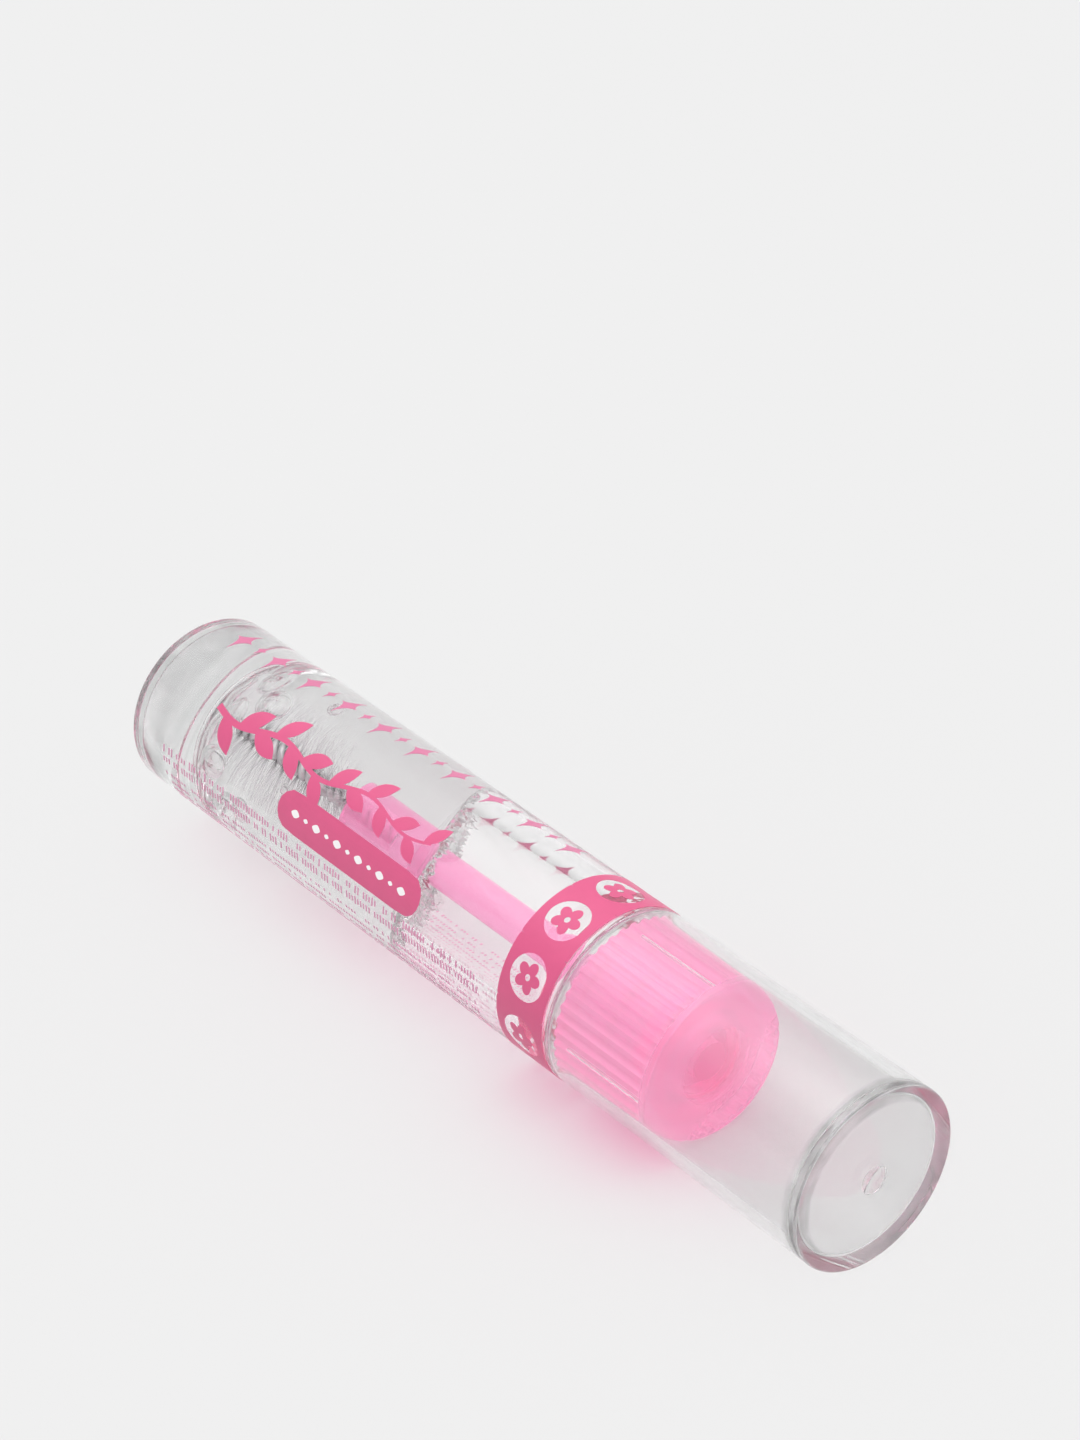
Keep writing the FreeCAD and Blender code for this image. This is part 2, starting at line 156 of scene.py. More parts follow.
class CapSettings(bpy.types.PropertyGroup):
    """Walls of the overcap and of the fluted insert."""

    end_thickness: length("End thickness", "Thickness of the overcap's flat end", 0.0017)
    mouth_round: length("Mouth round", "Radius of the overcap's mouth edge", 0.00025)
    end_round: length("End round", "Radius of the overcap's end edge", 0.0003)
    corner_round: length("Corner round", "Radius inside the overcap's closed end", 0.0005)
    fine_round: length("Fine round", "Radius of the small edges of both pieces", 0.0002)
    gate_radius: length("Gate radius", "Radius of the moulding gate's mark", 0.0015)
    gate_depth: length("Gate depth", "Depth of the moulding gate's mark", 0.0002)
    gate_round: length("Gate round", "Radius of the mark's edges", 0.00005)
    gate_lean: number("Gate lean", "Lean of the mark's floor, in depths for one radius", 0.45)
    rib_width: length("Rib width", "Width of a key rib inside the overcap", 0.00014)
    rib_height: length("Rib height", "Height of a key rib inside the overcap", 0.00022)
    rib_setback: length("Rib setback", "From the insert's foot to the ribs", 0.0008)
    rib_count: count("Rib count", "Key ribs inside the overcap", 4)
    flute_count: count("Flute count", "Flutes round the insert", 40)
    flute_radius: length("Flute radius", "Radius of one flute", 0.00045)
    bead_width: length("Bead width", "Width of the insert's top bead", 0.0008)
    bead_height: length("Bead height", "Height of the insert's top bead", 0.0001)
    insert_wall: length("Insert wall", "Wall inside the flutes", 0.00135)
    skirt_reach: length("Skirt reach", "How far the skirt hangs over the bottle's plinth", 0.0013)
    disc_thickness: length("Disc thickness", "Thickness of the insert's disc", 0.0021)
    ceiling_round: length("Ceiling round", "Radius where the disc meets the wall", 0.0004)
    boss_wall: length("Boss wall", "Wall of the boss round the stem", 0.0015)
    boss_round: length("Boss round", "Radius where the disc meets the boss", 0.0003)
    ring_radius: length("Ring radius", "Outside radius of the seal ring", 0.0052)
    ring_wall: length("Ring wall", "Thickness of the seal ring", 0.001)
    ring_round: length("Ring round", "Radius of the seal ring's edges", 0.0001)
    seal_gap: length("Seal gap", "Gap between the seal ring and the wiper", 0.00005)
    fit_gap: length("Fit gap", "Gap left round the bead and round the stem", 0.00001)


class BrushSettings(bpy.types.PropertyGroup):
    """Stem and fibres of the brush."""

    top_round: length("Top round", "Radius of the stem's top edge", 0.0001)
    stem_round: length("Stem round", "Radius of the stem's foot edge", 0.0003)
    wire_hole: length("Wire hole", "Radius of the hole for the wire", 0.0007)
    hole_depth: length("Hole depth", "Depth of that hole", 0.0075)
    hole_round: length("Hole round", "Radius of that hole's edge", 0.00005)
    wire_pitch: length("Wire pitch", "Rise of the twisted wire in one turn", 0.0024)
    fibre_radius: length("Fibre radius", "Radius of one bristle", 0.00003)
    tip_radius: length("Tip radius", "Reach of the bristles at the brush's tip", 0.0024)
    tip_length: length("Tip length", "Length of the brush's tapered tip", 0.003)
    heel_radius: length("Heel radius", "Reach of the bristles at the brush's heel", 0.0032)
    heel_length: length("Heel length", "Length of the brush's tapered heel", 0.001)
    fibre_count: count("Fibre count", "Number of bristles", 700)
    shortest: number("Shortest", "Shortest bristle as a share of the longest", 0.93)
    tuft_count: count("Tuft count", "Tufts of bristles along the wire", 15)
    tuft_spread: number("Tuft spread", "How far roots stray, as a share of a tuft's room", 0.07)
    turn_spread: number("Turn spread", "How far a bristle strays round the wire, in radians", 0.5)
    lean_spread: number("Lean spread", "How far a bristle leans along the wire, in radians", 0.38)
    seed: count("Seed", "Seed of the bristles' lean", 7)


class GelSettings(bpy.types.PropertyGroup):
    """Gel, its surface and the air caught in it."""

    wave_height: length("Wave height", "Unevenness of the gel's surface", 0.00015)
    climb: length("Climb", "How far the gel climbs the bore's wall", 0.0011)
    climb_start: number("Climb start", "Where it starts to climb, as a share of the bore", 0.72)
    fold_height: length("Fold height", "Height of the folds where the gel climbs the wall", 0.0012)
    lean_up: length("Lean up", "How much further the gel reaches at the top of the tube", 0.0026)
    lean_back: length("Lean back", "How much less far the gel reaches at the tube's back", 0.0038)
    pocket_radius: length("Pocket radius", "Radius of the flat pocket of air at the floor", 0.0046)
    pocket_depth: length("Pocket depth", "Depth of that pocket along the tube", 0.0014)
    pocket_lobes: number("Pocket lobes", "Unevenness of its edge", 0.25)
    film: length("Film", "What is left between the gel and the bore", 0.000005)


class InkSettings(bpy.types.PropertyGroup):
    """Printed ink and its colours."""

    thickness: length("Thickness", "Thickness of a layer of ink with its bite in the wall", 0.00005)
    layer_step: length("Layer step", "How far one layer of ink stands above another", 0.000008)
    window_count: count("Window count", "Round windows in the band", 9)
    window_radius: length("Window radius", "Radius of a round window", 0.0024)
    window_turn: angle("Window turn", "Turn of the first window from the top", 22.8)
    panel_width: length("Panel width", "Width of the long panel", 0.0044)
    panel_turn: angle("Panel turn", "Turn of the panel from the top", 66.0)
    deep_pink: colour("Deep pink", "Ink of the band, the panel and the sprig", (0.62, 0.085, 0.21))
    pale_pink: colour("Pale pink", "Ink of the sparkle line", (0.6, 0.16, 0.3))
    small_pink: colour("Small pink", "Ink of the fine rows", (0.6, 0.26, 0.4))
    blossom_radius: length("Blossom radius", "Radius of a blossom in a window", 0.0017)
    petal_count: count("Petal count", "Petals of a blossom", 5)
    petal_dip: number("Petal dip", "How far the edge dips between petals", 0.42)
    blossom_eye: number("Blossom eye", "Radius of the hole in a blossom, as a share of it", 0.2)
    bead_length: length("Bead length", "Length of a bead on the panel", 0.0013)
    bead_count: count("Bead count", "Beads on the panel", 11)
    small_bead: number("Small bead", "Size of every other bead", 0.55)
    sprig_start: length("Sprig start", "Start of the sprig, from the base", 0.0115)
    sprig_length: length("Sprig length", "Length of the sprig along the tube", 0.0345)
    sprig_first: angle("Sprig first turn", "Turn of the sprig's start from the top", 39)
    sprig_last: angle("Sprig last turn", "Turn of the sprig's end from the top", 33)
    sprig_sway: length("Sprig sway", "How far the vine swings to each side", 0.0007)
    sprig_waves: number("Sprig waves", "How often the vine swings", 2.5)
    vine_width: length("Vine width", "Width of the vine's line", 0.0007)
    leaf_count: count("Leaf count", "Leaves on the sprig", 14)
    leaf_length: length("Leaf length", "Length of the first leaf", 0.0046)
    leaf_width: length("Leaf width", "Width of the first leaf", 0.0021)
    leaf_spread: angle("Leaf spread", "Angle between a leaf and the vine", 38)
    line_start: length("Line start", "Start of the sparkle line, from the base", 0.0056)
    line_length: length("Line length", "Length of the sparkle line along the tube", 0.0504)
    line_first: angle("Line first turn", "Turn of the line's start from the top", -9)
    line_last: angle("Line last turn", "Turn of the line's end from the top", -27)
    sparkle_count: count("Sparkle count", "Sparkles in the line", 19)
    sparkle_length: length("Sparkle length", "Length of a large sparkle", 0.0024)
    sparkle_width: length("Sparkle width", "Width of a large sparkle", 0.0048)
    small_sparkle: number("Small sparkle", "Size of every other sparkle", 0.5)
    rows_start: length("Rows start", "Start of the fine rows, from the base", 0.006)
    rows_length: length("Rows length", "Length of the fine rows", 0.053)
    rows_turn: angle("Rows turn", "Turn of the first fine row from the top", 88)
    row_count: count("Row count", "Fine rows", 14)
    row_step: length("Row step", "Distance between two rows", 0.00128)
    bar_pitch: length("Bar pitch", "Distance between two bars of a row", 0.00046)
    bar_width: number("Bar width", "Width of a bar as a share of that distance", 0.44)
    bar_height: length("Bar height", "Height of the tallest bar", 0.00055)
    shortest_bar: number("Shortest bar", "Shortest bar as a share of the tallest", 0.55)
    missing_bars: number("Missing bars", "Share of the bars that are left out", 0.24)
    seed: count("Seed", "Seed of the fine rows", 11)


class StageSettings(bpy.types.PropertyGroup):
    """Floor, light and camera."""

    floor_size: length("Floor size", "Side of the floor", 6.0)
    floor_shade: number("Floor shade", "How pale the floor is", 0.57)
    floor_glow: number("Floor glow", "Light of the floor's own", 0.085)
    azimuth: angle("Azimuth", "Direction of the view, from the front to the right", 50.56)
    elevation: angle("Elevation", "Height of the view above the floor", 33.09)
    distance: length("Distance", "From the camera to the point it looks at", 0.4284)
    aim_along: length("Aim along", "Point looked at, along the tube from its middle", -0.0262)
    aim_across: length("Aim across", "Point looked at, beside the tube", 0.0251)
    lens: number("Lens", "Focal length in millimetres", 100.59)


def settings(group):
    return getattr(bpy.context.scene, group)


# ---------------------------------------------------------------- meshes
def rounded(corners, steps=6):
    """Points of a closed outline; a corner's third value is the radius that rounds it."""
    points = []
    for index, corner in enumerate(corners):
        here = Vector(corner[:2])
        if len(corner) == 2:
            points.append(here)
            continue
        radius = corner[2]
        before = (Vector(corners[index - 1][:2]) - here).normalized()
        after = (Vector(corners[(index + 1) % len(corners)][:2]) - here).normalized()
        half = before.angle(after) / 2
        centre = here + (before + after).normalized() * radius / math.sin(half)
        first = (here + before * radius / math.tan(half) - centre).normalized()
        last = (here + after * radius / math.tan(half) - centre).normalized()
        points += [centre + first.slerp(last, step / steps) * radius for step in range(steps + 1)]
    return points


def even_angles(sides):
    return [FULL_TURN * index / sides for index in range(sides)]


def divided(first, last, step):
    """Places from first to last, no further apart than step."""
    parts = max(1, math.ceil(abs(last - first) / step))
    return [first + (last - first) * index / parts for index in range(parts + 1)]


def place(along, radius, turn):
    """Point at a radius from the tube's axis; turn is 0 at the top and grows towards -Y."""
    return Vector((along, -radius * math.sin(turn), AXIS_HEIGHT + radius * math.cos(turn)))


def from_axis(point):
    return math.hypot(point.y, point.z - AXIS_HEIGHT)


def from_nearest(turn, spacing):
    """Angle from the nearest of the things that stand at every spacing, the first at the top."""
    return (turn + spacing / 2) % spacing - spacing / 2


def added(name, mesh):
    """New object of a mesh, in the scene."""
    made = bpy.data.objects.new(name, mesh)
    bpy.context.scene.collection.objects.link(made)
    return made


def from_bmesh(name, work):
    mesh = bpy.data.meshes.new(name)
    work.to_mesh(mesh)
    work.free()
    return added(name, mesh)


def turned(name, outline, angles, shape=None):
    """Smooth closed body turned about the tube's axis, with its faces outwards; shape(along,
    radius, turn) may change a radius."""
    work = bmesh.new()
    rings = []
    for along, radius in outline:
        if radius < HAIR:
            rings.append([work.verts.new(place(along, 0, 0))] * len(angles))
            continue
        radii = [shape(along, radius, turn) if shape else radius for turn in angles]
        rings.append([work.verts.new(place(along, *spot)) for spot in zip(radii, angles)])
    for ring, following in zip(rings, rings[1:] + rings[:1]):
        for index in range(len(angles)):
            after = (index + 1) % len(angles)
            corners = (ring[index], ring[after], following[after], following[index])
            face = list(dict.fromkeys(corners))
            if len(face) > 2:
                work.faces.new(face)
    bmesh.ops.recalc_face_normals(work, faces=work.faces)
    made = from_bmesh(name, work)
    made.data.shade_smooth()
    made.data.set_sharp_from_angle(angle=math.radians(35))
    return made


def paint(piece, *materials):
    """Give a piece these materials and no others; all its faces take the first."""
    piece.data.materials.clear()
    for material in materials:
        piece.data.materials.append(material)


def dress(piece, body, materials, nodes=()):
    """Give a finished piece its materials, its body and the nodes it stands for."""
    paint(piece, *materials)
    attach(piece, body)
    if nodes:
        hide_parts(*nodes)


# ---------------------------------------------------------------- node trees as expressions
class Value:
    """A socket that can be used in sums and products."""

    def __init__(self, graph, socket):
        self.graph = graph
        self.socket = socket

    def math(self, operation, *others):
        terms = dict(enumerate((self, *others)))
        return self.graph.node("ShaderNodeMath", terms, operation=operation)

    def out(self, name):
        """Another output of the same node."""
        return Value(self.graph, self.socket.node.outputs[name])

    def __add__(self, other):
        return self.math("ADD", other)

    __radd__ = __add__

    def __sub__(self, other):
        return self.math("SUBTRACT", other)

    def __rsub__(self, other):
        return self.graph.node("ShaderNodeMath", {0: other, 1: self}, operation="SUBTRACT")

    def __mul__(self, other):
        return self.math("MULTIPLY", other)

    __rmul__ = __mul__

    def __truediv__(self, other):
        return self.math("DIVIDE", other)

    def clamped(self):
        return self.math("MAXIMUM", 0.0).math("MINIMUM", 1.0)

    def rise(self, low, high):
        """0 at low, 1 at high, a straight run between and level beyond."""
        return ((self - low) / (high - low)).clamped()


def grey(level):
    return (level, level, level)


class Graph:
    """A node tree that is written from Python."""

    def __init__(self, tree):
        self.tree = tree

    def node(self, kind, sockets=None, output=0, stops=(), **options):
        """Add a node, with its options and a ramp's stops first and then the values or links of its
        sockets, and return one of its outputs."""
        made = self.tree.nodes.new(kind)
        for name, option in options.items():
            setattr(made, name, option)
        if stops:
            elements = made.color_ramp.elements
            while len(elements) < len(stops):
                elements.new(0.5)
            for element, (position, tint) in zip(elements, stops):
                element.position = position
                element.color = (*tint, 1.0)
        for name, given in (sockets or {}).items():
            socket = made.inputs[name]
            if isinstance(given, Value):
                self.tree.links.new(given.socket, socket)
            elif socket.type == "RGBA":
                socket.default_value = (*given, 1.0)
            else:
                socket.default_value = given
        return Value(self, made.outputs[output]) if made.outputs else None

    def mixed(self, factor, first, second):
        """Blend of two colours."""
        return self.node("ShaderNodeMix", {0: factor, 6: first, 7: second}, 2, data_type="RGBA")


class Finish(Graph):
    """A material with object coordinates to hand."""

    def __init__(self, name):
        self.material = bpy.data.materials.new(name)
        self.material.use_nodes = True
        super().__init__(self.material.node_tree)
        self.tree.nodes.clear()
        self.place = self.node("ShaderNodeTexCoord", output="Object")

    def noise(self, scale, detail=2.0, stretch=(1, 1, 1)):
        """Noise with about scale features in a metre, more of them where stretch is larger."""
        vector = self.node("ShaderNodeMapping", {"Vector": self.place, "Scale": stretch})
        return self.node("ShaderNodeTexNoise", {"Vector": vector, "Scale": scale, "Detail": detail})

    def along(self):
        """Place along the tube."""
        return self.node("ShaderNodeSeparateXYZ", {0: self.place}, "X")

    def away(self):
        """Distance from the tube's axis."""
        side = self.node("ShaderNodeSeparateXYZ", {0: self.place}, "Y")
        up = side.out("Z") - AXIS_HEIGHT
        return (side * side + up * up).math("SQRT")

    def bump(self, height, distance):
        sockets = {"Height": height, "Distance": distance, "Strength": 1.0}
        return self.node("ShaderNodeBump", sockets)

    def done(self, shader, passes=None):
        """Finish the material; light that falls on what lies beyond goes straight through, tinted
        as passes says."""
        if passes:
            is_shadow = self.node("ShaderNodeLightPath", output="Is Shadow Ray")
            passing = is_shadow.math("MAXIMUM", is_shadow.out("Is Diffuse Ray"))
            straight = self.node("ShaderNodeBsdfTransparent", {"Color": passes})
            shader = self.node("ShaderNodeMixShader", {0: passing, 1: shader, 2: straight})
        self.node("ShaderNodeOutputMaterial", {"Surface": shader})
        return self.material

    def moulded(self, passes=None, **sockets):
        """Finish the material with a Principled shader; an underscore stands for a space."""
        named = {name.replace("_", " "): given for name, given in sockets.items()}
        return self.done(self.node("ShaderNodeBsdfPrincipled", named), passes)


# ---------------------------------------------------------------- finishes
class ThickShade(NamedTuple):
    """A stretch where the plastic is thicker: it absorbs a little more, and a deeper, patchy tone
    adds painted shade for the dark surroundings seen through it.
    """

    start: float  # place along the tube where the tone begins to turn
    full: float  # place where it has turned
    inner: float  # radius outside which it turns
    # tone is the colour of the painted shade where it has turned
    tone: tuple


def clear_plastic(name, ior, clarity=0.975, tint=0.986, thick_shades=()):
    """Clear moulded plastic: faint flow waves, thin smears, a hair of roughness and, where the
    plastic is thicker, painted shade in a deeper, patchy tone."""
    finish = Finish(name)
    tone = grey(tint)
    # painted shade: in patches, the base colour darkens towards each stretch's tone outside its
    # inner radius
    for stretch in thick_shades:
        edge = finish.away().rise(stretch.inner, stretch.inner + 0.0004)
        patches = finish.noise(300, 1.0).rise(0.35, 0.6) * 0.6 + 0.4
        share = finish.along().rise(stretch.start, stretch.full) * edge * patches
        tone = finish.mixed(share, tone, stretch.tone)
    waves = finish.noise(150, 1.0, (0.35, 1, 1))
    smears = finish.noise(420, 3.0, (0.3, 1, 1)).rise(0.52, 0.75)
    return finish.moulded(
        grey(0.993),
        Base_Color=tone,
        Transmission_Weight=clarity,
        IOR=ior,
        Roughness=smears * 0.03 + 0.004,
        Normal=finish.bump(waves, 0.000012),
    )


def wet_gel():
    """Surface of the clear gel."""
    finish = Finish("wet_gel")
    return finish.moulded(
        grey(0.99),
        Base_Color=WHITE,
        Transmission_Weight=1.0,
        IOR=GEL_IOR,
        Roughness=0.0,
        Normal=finish.bump(finish.noise(900), 0.00002),
    )


def gel_side():
    """Where the gel wets the wall there is no surface to see."""
    finish = Finish("gel_side")
    return finish.done(finish.node("ShaderNodeBsdfTransparent", {"Color": WHITE}))


def air_in_gel():
    """Skin of an air bubble inside the gel."""
    finish = Finish("air_in_gel")
    skin = finish.node("ShaderNodeBsdfGlass", {"Roughness": 0.0, "IOR": 1 / GEL_IOR})
    return finish.done(skin, grey(0.99))


def pink_plastic(name, frost, clarity=0.72, glow=0.14, core=None):
    """Translucent pink plastic; glow is a painted glow, an emission that makes the pink shine as if
    lit by light scattered inside it, and core the radius within which the pink is deeper, because a
    boss stands behind it."""
    finish = Finish(name)
    cloud = finish.noise(260, 2.0, (0.4, 1, 1))
    tint = finish.mixed(cloud, (0.90, 0.38, 0.63), (0.90, 0.45, 0.68))
    if core:
        inside = finish.away().rise(core * 1.25, core * 0.65)
        tint = finish.mixed(inside, tint, (0.84, 0.2, 0.43))
    return finish.moulded(
        (1.0, 0.75, 0.87),
        Base_Color=tint,
        Transmission_Weight=clarity,
        # painted glow: the pink gives out light of its own, though it is no lamp
        Emission_Color=(1.0, 0.12, 0.4),
        Emission_Strength=glow,
        IOR=1.49,
        Roughness=cloud * 0.08 + frost,
        Normal=finish.bump(finish.noise(1500), 0.00001),
    )


def printed_ink(name, tint, lighter):
    """Screen-printed ink: an even coat with a soft gloss, clouded towards a lighter tone."""
    finish = Finish(name)
    cloud = finish.noise(700, 3.0)
    return finish.moulded(
        (0.97, 0.72, 0.82),
        Base_Color=finish.mixed(cloud, tint, lighter),
        Roughness=cloud * 0.15 + 0.3,
        Normal=finish.bump(finish.noise(4000, 1.0), 0.000004),
    )


def steel_wire():
    """Drawn steel wire."""
    finish = Finish("steel_wire")
    streaks = finish.noise(3000, 2.0, (0.2, 1, 1))
    return finish.moulded(
        Base_Color=finish.mixed(streaks, (0.45, 0.45, 0.46), (0.75, 0.75, 0.76)),
        Metallic=0.7,
        Roughness=streaks * 0.2 + 0.3,
    )


def nylon_fibre():
    """Clear-grey nylon bristle, darker near the wire."""
    finish = Finish("nylon_fibre")
    outwards = (finish.away() / BRUSH_RADIUS).rise(0.1, 0.36)
    return finish.moulded(
        Base_Color=finish.mixed(outwards, (0.3, 0.3, 0.31), (0.88, 0.88, 0.89)),
        Transmission_Weight=0.7,
        IOR=1.12,
        Roughness=0.1,
    )


def soft_plastic():
    """Milky soft plastic of the wiper."""
    finish = Finish("soft_plastic")
    cloud = finish.noise(500)
    return finish.moulded(
        grey(0.95),
        Base_Color=finish.mixed(cloud, grey(0.86), grey(0.95)),
        Transmission_Weight=0.7,
        IOR=1.5,
        Roughness=cloud * 0.1 + 0.35,
    )


def pale_floor(shade, glow):
    """Matt pale floor with a little light of its own."""
    finish = Finish("pale_floor")
    return finish.moulded(
        Base_Color=finish.mixed(finish.noise(8), grey(shade), grey(shade * 1.01)),
        Roughness=0.9,
        Specular_IOR_Level=0.0,
        Emission_Color=WHITE,
        Emission_Strength=glow,
    )


# ---------------------------------------------------------------- what repeats
class Layout(Graph):
    """A geometry tree with named inputs, applied to an object and turned into a plain mesh."""

    def __init__(self, name):
        super().__init__(bpy.data.node_groups.new(name, "GeometryNodeTree"))
        self.given = {}
        for side in ("INPUT", "OUTPUT"):
            self.tree.interface.new_socket(
                "Geometry", in_out=side, socket_type="NodeSocketGeometry"
            )
        self.source = self.node("NodeGroupInput")

    def take(self, name, given):
        """A named input of the tree with the value that it gets on the modifier."""
        kinds = {int: "NodeSocketInt", float: "NodeSocketFloat"}
        kind = kinds.get(type(given), "NodeSocketMaterial")
        socket = self.tree.interface.new_socket(name, in_out="INPUT", socket_type=kind)
        self.given[socket.identifier] = given
        return self.source.out(name)

    def index(self):
        return self.node("GeometryNodeInputIndex")

    def scatter(self, low, high, seed, key):
        """Random number for each point."""
        sockets = {2: low, 3: high, "ID": self.index(), "Seed": seed + key}
        return self.node("FunctionNodeRandomValue", sockets, 1, data_type="FLOAT")

    def by_turns(self, even, odd):
        """One number for the first copy and every second one after it, another for the rest."""
        return even + self.index().math("MODULO", 2.0) * (odd - even)

    def vector(self, x=0.0, y=0.0, z=0.0):
        return self.node("ShaderNodeCombineXYZ", {0: x, 1: y, 2: z})

    def sized(self, size):
        """Scale of a flat print."""
        return self.vector(size, size, 1.0)

    def turn_about(self, axis, turn):
        return self.node("FunctionNodeAxisAngleToRotation", {"Axis": axis, "Angle": turn})

    def copies(self, number_of, position, **more):
        """The given mesh at each of some points; more holds their Rotation and Scale."""
        points = self.node("GeometryNodePoints", {"Count": number_of, "Position": position})
        sockets = {"Points": points, "Instance": self.source, **more}
        placed = self.node("GeometryNodeInstanceOnPoints", sockets)
        return self.node("GeometryNodeRealizeInstances", {"Geometry": placed})

    def wrapped(self, flat, radius):
        """Lay a flat print round the tube: x runs along it and y round it, from the top."""
        along = self.node("ShaderNodeSeparateXYZ", {0: self.node("GeometryNodeInputPosition")})
        turn = along.out("Y") / radius
        side = turn.math("SINE") * radius * -1
        up = turn.math("COSINE") * radius + AXIS_HEIGHT
        rolled = {"Geometry": flat, "Position": self.vector(along, side, up)}
        laid = self.node("GeometryNodeSetPosition", rolled)
        return self.node("GeometryNodeFlipFaces", {"Mesh": laid})

    def finish(self, geometry, material):
        """Close the tree with the material."""
        sockets = {"Geometry": geometry, "Material": self.take("Material", material)}
        painted = self.node("GeometryNodeSetMaterial", sockets)
        self.node("NodeGroupOutput", {"Geometry": painted})

    def applied(self, start, thickness=None):
        """Run the tree on an object and leave a plain mesh in it."""
        modifier = start.modifiers.new("layout", "NODES")
        modifier.node_group = self.tree
        for identifier, given in self.given.items():
            modifier[identifier] = given
        if thickness:
            shell = start.modifiers.new("thickness", "SOLIDIFY")
            shell.thickness = thickness
            shell.offset = -1
        view = bpy.context.evaluated_depsgraph_get()
        mesh = bpy.data.meshes.new_from_object(start.evaluated_get(view), depsgraph=view)
        start.modifiers.clear()
        start.data = mesh
        mesh.name = start.name
        return start


def flat_tile(name, spokes, rings, edge_at, *sizes, hole=0.0):
    """Flat patch with its edge at edge_at(turn, *sizes) and, where hole is given, a round hole."""
    work = bmesh.new()
    rows = []
    for ring in range(rings + 1):
        if ring == 0 and not hole:
            rows.append([work.verts.new((0, 0, 0))] * spokes)
            continue
        row = []
        for turn in even_angles(spokes):
            far = hole + (edge_at(turn, *sizes) - hole) * ring / rings
            row.append(work.verts.new((far * math.cos(turn), far * math.sin(turn), 0)))
        rows.append(row)
    for near, far in zip(rows, rows[1:]):
        for index in range(spokes):
            after = (index + 1) % spokes
            corners = (near[index], far[index], far[after], near[after])
            work.faces.new(list(dict.fromkeys(corners)))
    return from_bmesh(name, work)


def flat_ribbon(name, middle_at, width_at, steps):
    """Flat ribbon along a line: middle_at(share) is a point of it, width_at(share) its width."""
    work = bmesh.new()
    before = None
    for step in range(steps + 1):
        share = step / steps
        ahead = middle_at(share + 0.01) - middle_at(share - 0.01)
        across = Vector((-ahead.y, ahead.x)).normalized() * width_at(share) / 2
        middle = middle_at(share)
        row = [work.verts.new((*(middle + across * side), 0)) for side in (-1, 1)]
        if before:
            work.faces.new([before[0], row[0], row[1], before[1]])
        before = row
    return from_bmesh(name, work)


# Each of these functions gives the distance of a print's edge from its middle.
def superellipse(turn, half_length, half_width, power):
    """Four-pointed star (power below 1), lozenge (1), oval (2) or bar with round corners (more)."""
    x = abs(math.cos(turn)) / half_length
    y = abs(math.sin(turn)) / half_width
    return (x**power + y**power) ** (-1 / power)


def blossom(turn, radius, petals, dip):
    """Plain blossom whose edge falls back by dip between its petals."""
    return radius * (1 - dip + dip * abs(math.cos(petals * turn / 2)))


def leaf(turn, half_length, half_width):
    """Leaf that is pointed at both ends: y = half_width * (1 - (x / half_length) ** 2)."""
    x, y = abs(math.cos(turn)), abs(math.sin(turn))
    if x < HAIR:
        return half_width
    steep = half_width * (x / half_length) ** 2
    return (-y + math.sqrt(y * y + 4 * steep * half_width)) / (2 * steep)


def pill(turn, half_length, half_width):
    """Bar with half-round ends."""
    x, y = abs(math.cos(turn)), abs(math.sin(turn))
    straight = half_length - half_width
    if y * straight >= x * half_width:
        return half_width / y
    return straight * x + math.sqrt(half_width**2 - (straight * y) ** 2)


def print_on_tube(tile, place_marks, radius, ink):
    """Copies of a flat tile, laid out by place_marks, wrapped round the tube as a layer of ink."""
    layout = Layout(tile.name)
    joined = {"Geometry": place_marks(layout), "Distance": WELD}
    flat = layout.node("GeometryNodeMergeByDistance", joined)
    layout.finish(layout.wrapped(flat, layout.take("Radius", radius)), ink)
    layout.applied(tile, settings("tube_ink").thickness)
    tile.data.shade_flat()
    dress(tile, "bottle", [ink])


# ---------------------------------------------------------------- operators
class TubeOperator(bpy.types.Operator):
    """What every operator of the tube shares."""

    bl_options = {"REGISTER", "UNDO"}

    @classmethod
    def poll(cls, context):
        return context.scene is not None


def gel_level(side, up):
    """Height of the gel's surface above its mean; side and up are shares of the bore's radius."""
    size = settings("tube_gel")
    start = size.climb_start
    at_wall = max(0.0, (math.hypot(side, up) - start) / (1 - start)) ** 2
    broad = noise.noise(Vector((side * 7, up * 7, 0.3)))  # about 7 folds in a radius
    fine = noise.noise(Vector((side * 20, up * 20, 2.1)))  # about 20
    edge = (size.climb + size.fold_height * (broad + fine)) * at_wall
    waves = math.sin(5.1 * up + 2.3 * side) * 0.5 + math.sin(9.0 * side - 3.0 * up + 1.0) * 0.35
    return size.wave_height * waves + edge + size.lean_up * up - size.lean_back * side


